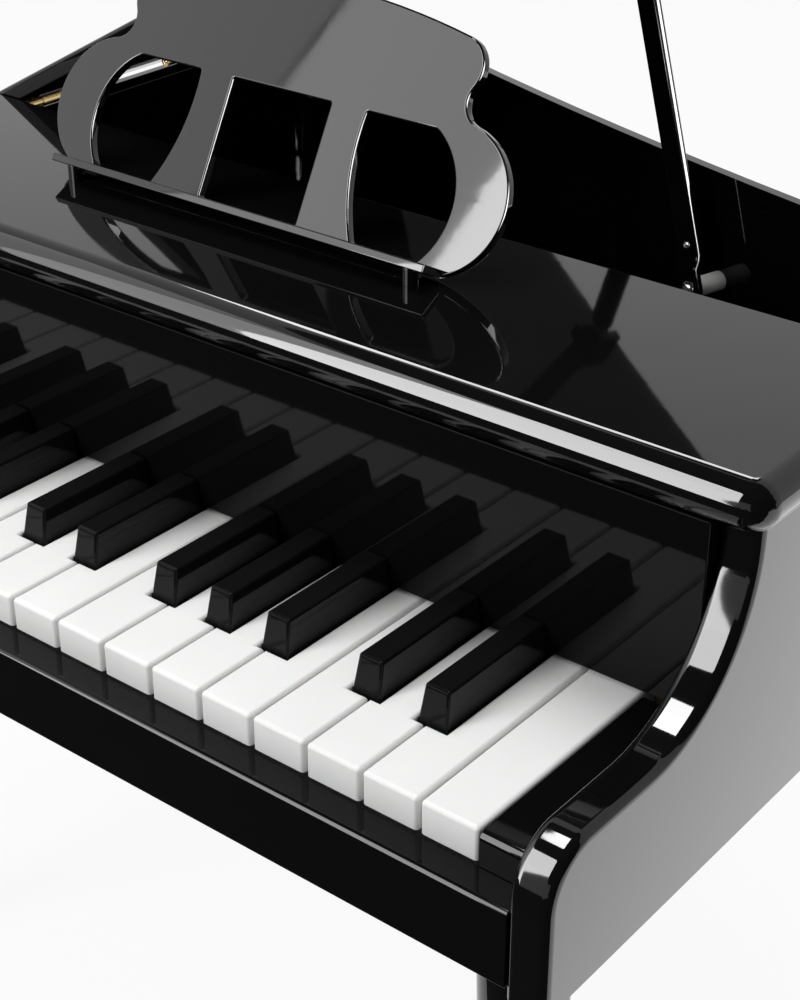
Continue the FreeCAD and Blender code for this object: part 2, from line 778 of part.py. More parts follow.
# Sounding works
hammer_rise = d.key_dip * (d.hammer_reach - d.pivot_reach) / d.pivot_reach
hammer_top = key_top - d.tail_drop + d.hammer_foot + d.hammer_bevel
rod_z = hammer_top + hammer_rise + d.strike_gap + d.rod_diameter / 2
bar_y = key_front + d.bar_reach
bar_back = bar_y + d.bar_depth
bar_z = rod_z - d.bar_height / 2
bar_left = key_middles[0] - d.bar_margin
bar_right = key_middles[-1] + d.bar_margin
rod_shares = [index / (len(key_middles) - 1) for index in range(len(key_middles))]
rod_lengths = [d.rod_longest - (d.rod_longest - d.rod_shortest) * share for share in rod_shares]
tone_rods = []
rod_holes = []
for index, (x, length) in enumerate(zip(key_middles, rod_lengths), start=1):
    start = (x, bar_back - d.rod_seat, rod_z)
    tone_rods.append(rod(f"tone_rod_{index:02d}", start, d.rod_diameter / 2, d.rod_seat + length, "Y"))
    rod_holes.append(rod(f"rod_hole_{index:02d}", start, d.rod_diameter / 2 + d.rod_fit,
                         d.rod_seat + d.overrun, "Y"))
named(group("tone_rods", tone_rods), "tone_rods")

beam_z = bar_z + d.bar_height
beam_y = bar_y - d.beam_lap
beam_depth = d.bar_depth + d.beam_lap * 2
screw_shares = [(index + 0.5) / SCREW_COUNT for index in range(SCREW_COUNT)]
screw_y = bar_y + d.screw_setback
bar_screws = []
screw_holes = []
for index, share in enumerate(screw_shares, start=1):
    x = bar_left + (bar_right - bar_left) * share
    head = rod(f"bar_screw_head_{index}", (x, screw_y, bar_z - d.screw_head_height),
               d.screw_head / 2, d.screw_head_height)
    shank = rod(f"bar_screw_shank_{index}", (x, screw_y, bar_z), d.screw_diameter / 2,
                d.bar_height + d.screw_depth)
    bar_screws.append(fused(f"bar_screw_{index}", [head, shank]))
    screw_holes.append(rod(f"screw_hole_{index}", (x, screw_y, bar_z), d.screw_diameter / 2,
                           d.bar_height + d.screw_depth))
named(group("tone_bar_screws", bar_screws), "tone_bar_screws")
all_holes = group("bar_holes", rod_holes + screw_holes)
bar_blank = box("bar_blank", bar_left, bar_y, bar_z, bar_right - bar_left, d.bar_depth, d.bar_height)
named(cut("tone_bar", bar_blank, all_holes), "tone_bar")
beam_blank = box("beam_blank", -inner_half, beam_y, beam_z, inner_half * 2, beam_depth, d.beam_height)
named(cut("tone_beam", beam_blank, group("beam_holes", screw_holes)), "tone_beam")

# Lid and its hinges, made shut and then turned up about the pins
pin_x = -outer_half - d.knuckle_radius - d.hinge_clearance
lid_front = top_back + d.lid_gap
lid_turn = Rotation(Vector(0, -1, 0), number(d.lid_angle))
lid_origin = (pin_x, ZERO, wall_top)
lid_edge = spine_end - lid_front
leaf_starts = [lid_front + lid_edge * share - d.leaf_length / 2 for share in HINGE_PLACE_SHARES]
knuckle_length = d.leaf_length * THIRD_SHARE


def shifted(line, x):
    return [(corner[0] - x,) + corner[1:] for corner in line]


lid = new_body("lid")
lid_line = bent_line(d.lid_inset)
lid_outline = [(d.lid_inset - outer_half, lid_front), (outer_half - d.lid_inset, lid_front)] + lid_line
lid_pad = pad(lid, draw(lid, "XY_Plane", [shifted(lid_outline, pin_x)]), d.lid_thickness)
round_edges(lid, lid_pad, d.lid_round, lambda edge: near(edge.ZMin, d.lid_thickness))
named(turned(lid, lid_origin, lid_turn), "lid")


def knuckle(name, y, z, x=0, length=knuckle_length):
    return rod(name, (x, y, z), d.knuckle_radius, length, "Y")


def pin_hole(name, y, x, z):
    return rod(name, (x, y, z), d.hinge_pin_diameter / 2 + d.hinge_pin_clearance, d.leaf_length, "Y")


case_leaves = []
lid_leaves = []
pins = []
web = d.knuckle_radius + d.hinge_clearance
for index, start in enumerate(leaf_starts, start=1):
    outer = -outer_half - d.leaf_thickness
    far = start + d.leaf_length - knuckle_length
    blank = fused(f"case_leaf_blank_{index}", [
        box(f"case_plate_{index}", outer, start, wall_top - d.leaf_height, d.leaf_thickness, d.leaf_length,
            d.leaf_height - web),
        box(f"case_web_{index}a", outer, start, wall_top - web, d.leaf_thickness, knuckle_length, web),
        box(f"case_web_{index}b", outer, far, wall_top - web, d.leaf_thickness, knuckle_length, web),
        knuckle(f"case_knuckle_{index}a", start, wall_top, pin_x),
        knuckle(f"case_knuckle_{index}b", far, wall_top, pin_x),
    ])
    hole = pin_hole(f"case_pin_hole_{index}", start, pin_x, wall_top)
    case_leaves.append(cut(f"case_leaf_{index}", blank, hole))
    inner = web + d.lid_inset - d.leaf_thickness
    middle = start + knuckle_length + d.hinge_clearance
    middle_length = knuckle_length - d.hinge_clearance * 2
    blank = fused(f"lid_leaf_blank_{index}", [
        box(f"lid_plate_{index}", inner, start, web, d.leaf_thickness, d.leaf_length,
            d.lid_leaf_height - web),
        box(f"lid_web_{index}", inner, middle, 0, d.leaf_thickness, middle_length, web),
        knuckle(f"lid_knuckle_{index}", middle, 0, 0, middle_length),
    ])
    lid_leaves.append(cut(f"lid_leaf_{index}", blank, pin_hole(f"lid_pin_hole_{index}", start, 0, 0)))
    pin_start = (pin_x, start, wall_top)
    pins.append(rod(f"hinge_pin_{index}", pin_start, d.hinge_pin_diameter / 2, d.leaf_length, "Y"))
named(group("case_hinge_leaves", case_leaves), "case_hinge_leaves")
named(turned(group("lid_hinge_leaves", lid_leaves), lid_origin, lid_turn), "lid_hinge_leaves")
named(group("hinge_pins", pins), "hinge_pins")

# Prop, seen square to the bent side: its own Y points out through the wall
wall_radius = hollow_radius + d.rim_thickness
prop_foot = (
    hollow_centre[0] - wall_radius * sine(d.prop_bearing),
    hollow_centre[1] - wall_radius * cosine(d.prop_bearing),
    key_top + d.prop_rise,
)
wall_turn = Rotation(-number(d.prop_bearing), 0, 0)
prop_turn = Rotation(-number(d.prop_bearing), -number(d.prop_lean_angle), 0)
tongue_back = -d.spacer_length
tongue_front = tongue_back - d.prop_thickness
prop_middle = tongue_front + d.prop_joggle + d.prop_thickness / 2
tip_radius = (d.prop_width - d.prop_end_land) / 2
tip_x = prop_foot[0] + prop_middle * sine(d.prop_bearing)
tip_drop = (tip_radius + d.cup_thickness + d.prop_clearance) / cosine(d.lid_angle)
tip_rise = wall_top - prop_foot[2] + (tip_x - pin_x) * tangent(d.lid_angle) - tip_drop
lean_sum = cosine(d.prop_lean_angle) + sine(d.prop_lean_angle) * cosine(d.prop_bearing) * tangent(d.lid_angle)
tip_reach = tip_rise / lean_sum
prop_end = tip_reach + tip_radius
prop_start = -d.prop_width / 2

prop = new_body("prop")
joggle_end = d.joggle_start + d.joggle_length
prop_outline = [
    (tongue_back, prop_start),
    (tongue_back, d.joggle_start),
    (tongue_back + d.prop_joggle, joggle_end),
    (tongue_back + d.prop_joggle, prop_end),
    (tongue_front + d.prop_joggle, prop_end),
    (tongue_front + d.prop_joggle, joggle_end),
    (tongue_front, d.joggle_start),
    (tongue_front, prop_start),
]
prop_pad = pad(prop, draw(prop, "YZ_Plane", [prop_outline], -d.prop_width / 2), d.prop_width)
round_edges(
    prop,
    prop_pad,
    tip_radius,
    lambda edge: near(edge.ZMin, edge.ZMax) and edge.YLength > edge.XLength
    and (near(edge.ZMin, prop_end) or near(edge.ZMin, prop_start)),
)
prop_hole = rod("prop_hole", (0, tongue_front - d.overrun, 0), d.screw_diameter / 2 + d.prop_hole_clearance,
                d.prop_thickness + d.overrun * 2, "Y")
named(turned(cut("prop_stick", prop, prop_hole), prop_foot, prop_turn), "prop_stick")

spacer_blank = rod("spacer_blank", (0, tongue_back + d.prop_hole_clearance, 0), d.spacer_diameter / 2,
                   d.spacer_length - d.prop_hole_clearance, "Y")
spacer_hole = rod("spacer_hole", (0, tongue_back - d.overrun, 0), d.screw_diameter / 2 + d.rod_fit,
                  d.spacer_length + d.overrun * 2, "Y")
named(turned(cut("prop_spacer", spacer_blank, spacer_hole), prop_foot, wall_turn), "prop_spacer")
screw_end = d.rim_thickness * THIRD_SHARE * 2
head_back = tongue_front - d.prop_hole_clearance
prop_screw = fused("prop_screw", [
    rod("prop_screw_head", (0, head_back - d.screw_head_height, 0), d.screw_head / 2, d.screw_head_height, "Y"),
    rod("prop_screw_shank", (0, head_back, 0), d.screw_diameter / 2, screw_end - head_back, "Y"),
])
named(turned(prop_screw, prop_foot, wall_turn), "prop_pivot_screw")
screw_socket = rod("prop_screw_socket", (0, -d.overrun, 0), d.screw_diameter / 2 + d.rod_fit,
                   screw_end + d.overrun, "Y")
socket_group = turned(group("prop_screw_sockets", [screw_socket]), prop_foot, wall_turn)
named(cut("bent_side", rim, socket_group), "bent_side")

# Prop cup under the lid, drawn about the prop's tip and turned to follow the lid's edge
tip_left = tip_reach * sine(d.prop_lean_angle)
tip_from_pin = tip_x - tip_left * cosine(d.prop_bearing) - pin_x
tip_above_pin = prop_foot[2] + tip_reach * cosine(d.prop_lean_angle) - wall_top
tip_along = tip_from_pin * cosine(d.lid_angle) + tip_above_pin * sine(d.lid_angle)
tip_y = prop_foot[1] + prop_middle * cosine(d.prop_bearing) + tip_left * sine(d.prop_bearing)
lip_x = tip_radius + d.prop_clearance
cup_depth = d.cup_front + d.cup_back
cup_length = d.cup_lead + lip_x + d.cup_lip_width
lip_foot = -d.cup_thickness - d.cup_lip
cup = fused("prop_cup", [
    box("cup_pad", -d.cup_lead, -d.cup_front, -d.cup_thickness, cup_length, cup_depth, d.cup_thickness),
    box("cup_lip", lip_x, -d.cup_front, lip_foot, d.cup_lip_width, cup_depth, d.cup_lip),
])
cup_turn = lid_turn.multiply(wall_turn)
cup_shift = lid_turn.multVec(Vector(number(tip_along), number(tip_y), 0))
cup_spot = [number(part) + shift for part, shift in zip(lid_origin, cup_shift)]
named(turned(cup, cup_spot, cup_turn), "prop_cup")

# Music desk, drawn flat and tilted back about its foot
desk_half = d.desk_width / 2
plate_half = desk_half - d.desk_foot_inset
waist_x = desk_half - d.desk_waist_inset
waist_hollow = (
    waist_x + d.desk_waist_radius * cosine(d.desk_waist_angle),
    d.desk_waist_rise + d.desk_waist_radius * sine(d.desk_waist_angle),
)
flare = (
    waist_hollow[0] - d.desk_waist_radius * cosine(d.desk_flare_angle),
    waist_hollow[1] + d.desk_waist_radius * sine(d.desk_flare_angle),
)
lobe_centre = (
    flare[0] - d.desk_lobe_radius * cosine(d.desk_flare_angle),
    flare[1] + d.desk_lobe_radius * sine(d.desk_flare_angle),
)
lobe_end = (
    lobe_centre[0] + d.desk_lobe_radius * sine(d.desk_lobe_end_angle),
    lobe_centre[1] + d.desk_lobe_radius * cosine(d.desk_lobe_end_angle),
)
desk_outline = [
    (-plate_half, 0),
    (plate_half, 0, d.desk_bulge_radius),
    (waist_x, d.desk_waist_rise, -d.desk_waist_radius),
    flare + (d.desk_lobe_radius,),
    lobe_end + (d.desk_crest_radius,),
    (-lobe_end[0], lobe_end[1], d.desk_lobe_radius),
    (-flare[0], flare[1], -d.desk_waist_radius),
    (-waist_x, d.desk_waist_rise, d.desk_bulge_radius),
]
right_window = [
    (d.desk_window_foot_inner, d.desk_band),
    (d.desk_window_foot_outer, d.desk_band, d.desk_window_outer_radius),
    (d.desk_window_head_outer, d.desk_opening_rise),
    (d.desk_window_head_inner, d.desk_opening_rise, d.desk_window_inner_radius),
]
left_window = [
    (-d.desk_window_foot_outer, d.desk_band),
    (-d.desk_window_foot_inner, d.desk_band, d.desk_window_inner_radius),
    (-d.desk_window_head_inner, d.desk_opening_rise),
    (-d.desk_window_head_outer, d.desk_opening_rise, d.desk_window_outer_radius),
]
middle_slot = [
    (-d.desk_slot_half, d.desk_band),
    (d.desk_slot_half, d.desk_band),
    (d.desk_slot_half, d.desk_opening_rise),
    (-d.desk_slot_half, d.desk_opening_rise),
]
desk_foot = (-d.desk_offset, top_back - d.desk_setback, top_surface + d.desk_lift)
desk_turn = Rotation(Vector(1, 0, 0), -number(d.desk_tilt))
desk = new_body("music_desk")
desk_loops = [desk_outline, right_window, left_window, middle_slot]
pad(desk, draw(desk, "XZ_Plane", desk_loops, -d.desk_thickness), d.desk_thickness)
named(turned(desk, desk_foot, desk_turn), "music_desk")

ledge = new_body("desk_ledge")
ledge_outline = [
    (-d.ledge_depth, 0),
    (0, 0),
    (0, d.ledge_thickness),
    (d.ledge_round - d.ledge_depth, d.ledge_thickness, d.ledge_round),
    (-d.ledge_depth, d.ledge_thickness - d.ledge_round),
]
pad(ledge, draw(ledge, "YZ_Plane", [ledge_outline], -desk_half), d.desk_width)
named(turned(ledge, desk_foot, desk_turn), "desk_ledge")

peg_y = desk_foot[1] - d.ledge_depth / 2 * cosine(d.desk_tilt)
peg_top = desk_foot[2] + d.ledge_depth
pegs = []
peg_holes = []
for name, x in (("right", desk_half - d.peg_inset), ("left", d.peg_inset - desk_half)):
    start = (desk_foot[0] + x, peg_y, top_surface - d.peg_depth)
    blank = rod(f"{name}_peg_blank", start, d.peg_diameter / 2, peg_top - top_surface + d.peg_depth)
    over = box(f"{name}_peg_trim", -desk_half, -d.ledge_depth - d.overrun, 0, d.desk_width,
               d.ledge_depth + d.overrun * 2, d.ledge_depth + d.overrun)
    pegs.append(cut(f"{name}_peg", blank, turned(group(f"{name}_trim", [over]), desk_foot, desk_turn)))
    peg_holes.append(rod(f"{name}_peg_hole", start, d.peg_diameter / 2 + d.peg_fit, d.peg_depth + d.overrun))
named(group("desk_pegs", pegs), "desk_pegs")
named(cut("top_board", top, group("peg_holes", peg_holes)), "top_board")


# Legs and feet
def leg(name, x, y):
    body = new_body(name)
    height = case_bottom - d.pad_thickness
    neck = height - d.leg_collar_height
    ring = neck - d.leg_ring_height
    taper = ring - d.leg_ring_height
    outline = [
        (0, 0),
        (d.leg_foot_radius, 0),
        (d.leg_body_radius, taper),
        (d.leg_ring_radius, taper),
        (d.leg_ring_radius, ring),
        (d.leg_neck_radius, ring),
        (d.leg_neck_radius, neck),
        (d.leg_top_radius, neck),
        (d.leg_top_radius, height),
        (d.leg_tenon_radius, height),
        (d.leg_tenon_radius, height + d.leg_tenon_height),
        (0, height + d.leg_tenon_height),
    ]
    sketch = draw(body, "XZ_Plane", [outline])
    turning = body.newObject("PartDesign::Revolution", f"{name}_turning")
    turning.Profile = sketch
    turning.ReferenceAxis = (sketch, ["V_Axis"])
    turning.Angle = 360
    return place(body, x, y, d.pad_thickness)


legs = [leg(f"leg_{i}", x, y) for i, (x, y) in enumerate(leg_places, start=1)]
named(group("legs", legs), "legs")
pads = [
    rod(f"foot_pad_{i}", (x, y, 0), d.pad_radius, d.pad_thickness)
    for i, (x, y) in enumerate(leg_places, start=1)
]
named(group("foot_pads", pads), "foot_pads")

doc.recompute()
for thing in doc.Objects:
    if "Invalid" in thing.State or "Error" in thing.State:
        raise RuntimeError(f"{thing.Label} failed: {thing.State}")
for piece in pieces:
    if piece.Shape.isNull() or not piece.Shape.isValid():
        raise RuntimeError(f"{piece.Label} has no sound shape")
    print(piece.Label, len(piece.Shape.Solids), round(piece.Shape.Volume))

os.makedirs("parts", exist_ok=True)
for piece in pieces:
    piece.Shape.exportStep(f"parts/{piece.Label}.step")
print(len(pieces), "pieces written")
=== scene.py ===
# %% [markdown]
# # A toy baby grand piano
# The solids of the piano come from its construction model and set every size and place here.
# This file gives them their looks: black lacquer, moulded keys, bright metal, felt and plain wood.
# Everything is in metres. X runs along the keyboard to the player's right, Y from the player to the
# tail, Z is up, and the floor is at zero.

import json
import math

import bmesh
import bpy
from mathutils import Matrix, Vector

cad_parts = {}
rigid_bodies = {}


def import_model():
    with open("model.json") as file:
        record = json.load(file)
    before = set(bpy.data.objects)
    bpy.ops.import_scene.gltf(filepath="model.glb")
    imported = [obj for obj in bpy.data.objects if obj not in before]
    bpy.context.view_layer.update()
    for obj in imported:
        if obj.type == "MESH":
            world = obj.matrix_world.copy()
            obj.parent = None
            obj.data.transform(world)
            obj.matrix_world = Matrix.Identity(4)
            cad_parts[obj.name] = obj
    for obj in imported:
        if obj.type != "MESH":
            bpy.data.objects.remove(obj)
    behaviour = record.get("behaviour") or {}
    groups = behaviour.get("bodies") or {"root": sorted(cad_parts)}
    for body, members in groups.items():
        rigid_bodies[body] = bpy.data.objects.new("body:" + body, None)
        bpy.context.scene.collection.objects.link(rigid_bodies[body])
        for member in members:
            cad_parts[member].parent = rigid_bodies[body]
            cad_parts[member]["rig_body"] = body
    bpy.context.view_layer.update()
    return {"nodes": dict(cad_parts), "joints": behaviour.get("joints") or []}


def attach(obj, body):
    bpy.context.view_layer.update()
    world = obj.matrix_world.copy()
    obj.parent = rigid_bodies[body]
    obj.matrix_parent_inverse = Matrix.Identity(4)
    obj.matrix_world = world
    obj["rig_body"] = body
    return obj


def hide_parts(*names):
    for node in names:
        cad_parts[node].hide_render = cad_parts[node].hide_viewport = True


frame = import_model()
scene = bpy.context.scene
scene.view_settings.view_transform = "Standard"

# %% [markdown]
# ## Camera
# The viewer stands at the player's right and looks down over the high keys. The lens is a short
# telephoto, which keeps the keys nearly parallel. A camera looks along its own minus Z, so the three
# columns of its matrix are its right, its up and the way back from the object.

# %% Camera
CAMERA_PLACE = Vector((0.47183, -0.58665, 0.66516))
CAMERA_AZIMUTH = math.radians(38.7)
CAMERA_ELEVATION = math.radians(29.2)
CAMERA_LENS = 69.75
CAMERA_SENSOR = 36.0
camera_data = bpy.data.cameras.new("viewer")
camera_data.lens = CAMERA_LENS
camera_data.sensor_width = CAMERA_SENSOR
camera = bpy.data.objects.new("viewer", camera_data)
scene.collection.objects.link(camera)
back = Vector((
    math.sin(CAMERA_AZIMUTH) * math.cos(CAMERA_ELEVATION),
    -math.cos(CAMERA_AZIMUTH) * math.cos(CAMERA_ELEVATION),
    math.sin(CAMERA_ELEVATION),
))
right = Vector((0, 0, 1)).cross(back).normalized()
turn = Matrix((right, back.cross(right), back)).transposed().to_4x4()
camera.matrix_world = Matrix.Translation(CAMERA_PLACE) @ turn
scene.camera = camera
print("camera at", tuple(CAMERA_PLACE))

# %% [markdown]
# ## One helper for every node tree
# Shader trees and geometry trees are wired alike: add a node, set its options, then give each input
# either a value or another node's output. One small function for that keeps the recipes below short
# enough to read as recipes.

# %% Node helper
def node(tree, kind, inputs=None, **options):
    """Adds a node, sets its options and inputs, and returns its outputs."""
    made = tree.nodes.new(kind)
    for label, value in options.items():
        setattr(made, label, value)
    for label, value in (inputs or {}).items():
        if hasattr(value, "is_output"):
            tree.links.new(value, made.inputs[label])
        else:
            made.inputs[label].default_value = value
    return made.outputs


def math_node(tree, operation, *values):
    """The result of a sum on numbers or sockets."""
    return node(tree, "ShaderNodeMath", dict(enumerate(values)), operation=operation)[0]


def ranged(tree, value, span, low=0.0, high=1.0):
    """Maps a span of values to the range from low to high, held at the ends."""
    limits = {"Value": value, "From Min": span[0], "From Max": span[1], "To Min": low, "To Max": high}
    return node(tree, "ShaderNodeMapRange", limits)["Result"]


print("helpers", node.__name__, math_node.__name__, ranged.__name__)

# %% [markdown]
# ## Room
# Black lacquer has almost no colour of its own: what the eye reads is the room that it mirrors. This
# room is white to the camera and to mirrors, at a strength of one. As a lamp it is dimmer, so that the
# white keys keep their shading. The Light Path node tells the rays apart.

# %% Room
ROOM_AS_LAMP = 0.30


def background_rays(tree):
    """One for rays that see the background: from the camera, off a gloss or through a clear piece."""
    path = node(tree, "ShaderNodeLightPath")
    mirrored = math_node(tree, "MAXIMUM", path["Is Glossy Ray"], path["Is Transmission Ray"])
    return math_node(tree, "MAXIMUM", path["Is Camera Ray"], mirrored)


room = bpy.data.worlds.new("white_room")
room.use_nodes = True
scene.world = room
sky = room.node_tree.nodes["Background"]
sky.inputs["Color"].default_value = (1, 1, 1, 1)
seen = ranged(room.node_tree, background_rays(room.node_tree), (0, 1), ROOM_AS_LAMP)
room.node_tree.links.new(seen, sky.inputs["Strength"])
print(room.name, "lights matt surfaces at", ROOM_AS_LAMP)

# %% [markdown]
# ## Floor
# The floor is one wide white sheet. Most of what the camera and mirrors see of it is glow, which keeps
# it as white as the room, and the rest is matt paint, which keeps the shadow of the piano.

# %% Floor
FLOOR_HALF = 12.0
FLOOR_GLOW_SHARE = 0.92
FLOOR_WHITE, FLOOR_ROUGHNESS = 0.86, 0.9


def level(low, high, height):
    """The four corners of a level rectangle."""
    return [(x, y, height) for x, y in (low, (high[0], low[1]), high, (low[0], high[1]))]


def flat_sheet(name, corners, material):
    """A rectangle that belongs to the studio."""
    mesh = bpy.data.meshes.new(name)
    mesh.from_pydata(corners, [], [(0, 1, 2, 3)])
    mesh.materials.append(material)
    sheet = bpy.data.objects.new(name, mesh)
    scene.collection.objects.link(sheet)
    return sheet


paint = bpy.data.materials.new("white_floor")
paint.use_nodes = True
tree = paint.node_tree
matt = tree.nodes["Principled BSDF"]
matt.inputs["Base Color"].default_value = (FLOOR_WHITE, FLOOR_WHITE, FLOOR_WHITE, 1)
matt.inputs["Roughness"].default_value = FLOOR_ROUGHNESS
glow = node(tree, "ShaderNodeEmission", {"Strength": 1.0})["Emission"]
share = math_node(tree, "MULTIPLY", background_rays(tree), FLOOR_GLOW_SHARE)
mixed = node(tree, "ShaderNodeMixShader", {0: share, 1: matt.outputs["BSDF"], 2: glow})["Shader"]
tree.links.new(mixed, tree.nodes["Material Output"].inputs["Surface"])
flat_sheet("floor", level((-FLOOR_HALF, -FLOOR_HALF), (FLOOR_HALF, FLOOR_HALF), 0), paint)
print("floor", FLOOR_HALF * 2, "m wide")

# %% [markdown]
# ## Cards
# A photographer who shoots a glossy black thing lays cards around it: a black one where the front has
# to look deep and a bright one where the side has to look pale. Black cloth above the player's half of
# the room and along its right wall keeps rounded edges black between their glints. Only mirrors see
# these cards, so they change the gloss and nothing else.

# %% Cards
CARD_HEIGHT = 0.001
CLOTH_LEFT, CLOTH_RIGHT = -1.6, 2.6
CLOTH_FRONT, CLOTH_BACK, CLOTH_HEIGHT = -6.0, 0.9, 2.5
FRONT_CARD_LOW, FRONT_CARD_HIGH = (-3.5, -3.5), (CLOTH_RIGHT, -0.26)
SIDE_CARD_LOW, SIDE_CARD_HIGH = (0.28, -0.24), (1.7, 1.6)
DARK_CARD, BRIGHT_CARD = 0.05, 2.5


def seen_by_mirrors_only(thing):
    thing.visible_camera = False
    thing.visible_diffuse = False
    thing.visible_transmission = False
    thing.visible_volume_scatter = False
    thing.visible_shadow = False


def card(name, corners, strength):
    made = bpy.data.materials.new(name)
    made.use_nodes = True
    made.node_tree.nodes.remove(made.node_tree.nodes["Principled BSDF"])
    lit = node(made.node_tree, "ShaderNodeEmission", {"Strength": strength})["Emission"]
    made.node_tree.links.new(lit, made.node_tree.nodes["Material Output"].inputs["Surface"])
    seen_by_mirrors_only(flat_sheet(name, corners, made))
    print(name, "strength", strength)


card("dark_card", level(FRONT_CARD_LOW, FRONT_CARD_HIGH, CARD_HEIGHT), DARK_CARD)
card("bright_card", level(SIDE_CARD_LOW, SIDE_CARD_HIGH, CARD_HEIGHT), BRIGHT_CARD)
card("dark_ceiling", level((CLOTH_LEFT, CLOTH_FRONT), (CLOTH_RIGHT, CLOTH_BACK), CLOTH_HEIGHT), DARK_CARD)
wall_foot = [(CLOTH_RIGHT, CLOTH_FRONT, 0), (CLOTH_RIGHT, CLOTH_BACK, 0)]
wall_top = [(x, y, CLOTH_HEIGHT) for x, y, z in reversed(wall_foot)]
card("dark_wall", wall_foot + wall_top, DARK_CARD)

# %% [markdown]
# ## Soft boxes
# The power of an area lamp spreads over its face, so a larger lamp of the same power looks dimmer in a
# mirror. Gloss is what counts here, so the helper asks how bright the face should look, on the scale
# where the room is one, and works out the power: brightness times pi times the area.

# %% Soft box helper
def soft_box(name, place, target, width, height, brightness):
    """A lamp with a rectangular face that looks at its target."""
    data = bpy.data.lights.new(name, "AREA")
    data.shape = "RECTANGLE"
    data.size = width
    data.size_y = height
    data.energy = brightness * math.pi * width * height
    lamp = bpy.data.objects.new(name, data)
    lamp.location = place
    lamp.rotation_euler = (Vector(target) - Vector(place)).to_track_quat("-Z", "Y").to_euler()
    lamp.visible_camera = False
    scene.collection.objects.link(lamp)
    print("lamp", name, width, "by", height, "m,", round(data.energy, 1), "W")
    return lamp


# %% [markdown]
# ## Lamps
# One tall soft box at the front left draws the bright bands on the rounded edges and on the music
# desk's right lobe, and two dimmer screens beside it grey the rest of the desk. A panel at the right
# lines the edges of the prop, a strip overhead puts the small glints on the arms, and a strip behind
# draws the thin line along the top of the front edge. Mirrors and matt surfaces need different
# strengths, so all these are hidden from matt surfaces. Two more lamps, hidden from mirrors, light the
# keys: one above, which leaves the foot of the fallboard in shade, and one in front.

# %% Lamps
BOX_MIDDLE, BOX_HEIGHT = 0.765, 1.03
BOX_TARGET = (0, -0.1, BOX_MIDDLE)
KEYBOARD = (0, -0.16, 0.4)
# Each lamp has a place, a target, a width, a height and a brightness.
MIRROR_LAMPS = {
    "tall_box": ((-0.274, -0.8, BOX_MIDDLE), BOX_TARGET, 0.38, BOX_HEIGHT, 22),
    "near_screen": ((-0.525, -0.675, BOX_MIDDLE), BOX_TARGET, 0.19, BOX_HEIGHT, 5.0),
    "far_screen": ((-0.8, -0.475, BOX_MIDDLE), BOX_TARGET, 0.5, BOX_HEIGHT, 1.9),
    "right_panel": ((1.5, 0.15, 0.66), (0.07, 0.14, 0.4), 1.5, 1.2, 50),
    "glint_strip": ((-0.44, -0.165, 1.9), (-0.05, -0.16, 0.3), 0.6, 0.18, 36),
    "nose_strip": ((-0.774, 1.036, 1.48), (0.17, -0.13, 0.39), 0.9, 0.36, 12),
}
KEY_LAMPS = {
    "top_light": ((-0.2, 0.15, 1.9), KEYBOARD, 0.9, 0.9, 7.4),
    "front_fill": ((-0.72, -1.57, 1.3), KEYBOARD, 0.6, 1.0, 12),
}
lamps = {name: soft_box(name, *setting) for name, setting in (MIRROR_LAMPS | KEY_LAMPS).items()}
for name in MIRROR_LAMPS:
    seen_by_mirrors_only(lamps[name])
for name in KEY_LAMPS:
    lamps[name].visible_glossy = False
print("lamps for mirrors", len(MIRROR_LAMPS), "and for matt surfaces", len(KEY_LAMPS))

# %% [markdown]
# ## Effects that several finishes share
# A shader node group is built once and placed in each material with its own values. Each of these
# puts out a height for a Bump node, a roughness or a mask. They read Object coordinates, so a pattern
# keeps its real size and stays on the piece when the piece moves.

# %% Group helper and noise
def effect(name, inputs, outputs):
    """Empty shader group with named number inputs and outputs; returns tree, inputs and outputs."""
    made = bpy.data.node_groups.new(name, "ShaderNodeTree")
    for label, value in inputs:
        socket = made.interface.new_socket(label, in_out="INPUT", socket_type="NodeSocketFloat")
        socket.default_value = value
    for label in outputs:
        made.interface.new_socket(label, in_out="OUTPUT", socket_type="NodeSocketFloat")
    return made, made.nodes.new("NodeGroupInput").outputs, made.nodes.new("NodeGroupOutput").inputs


def noise(tree, scale, detail=2.0, stretch=(1, 1, 1)):
    """Noise on Object coordinates; scale is a number or a socket, in cells to the metre."""
    place = node(tree, "ShaderNodeTexCoord")["Object"]
    mapped = node(tree, "ShaderNodeMapping", {"Vector": place, "Scale": stretch})["Vector"]
    return node(tree, "ShaderNodeTexNoise", {"Vector": mapped, "Scale": scale, "Detail": detail})["Fac"]


print("helpers", effect.__name__, noise.__name__)

# %% [markdown]
# ## Sprayed skin
# Sprayed lacquer is never a perfect mirror: it dries with a fine orange peel over long, slow waves
# left by sanding. Two noises of very different scale give both, and a Bump node of a few microns
# turns them into wavering reflections.

# %% Sprayed skin
LACQUER_PEEL, LACQUER_WAVE = 160, 9
WAVE_SHARE = 3.0
skin, given, put = effect(
    "sprayed_skin", [("Peel Scale", LACQUER_PEEL), ("Wave Scale", LACQUER_WAVE)], ["Height"])
peel = noise(skin, given["Peel Scale"])
wave = math_node(skin, "MULTIPLY", noise(skin, given["Wave Scale"], detail=0), WAVE_SHARE)
skin.links.new(math_node(skin, "ADD", peel, wave), put["Height"])
print(skin.name, list(put.keys()))

# %% [markdown]
# ## Dust and wiping
# A cloth leaves faint streaks that are a little rougher than the rest, and dust gathers in loose
# clouds of tiny specks. The group puts out a roughness for the streaks and a mask for the specks.

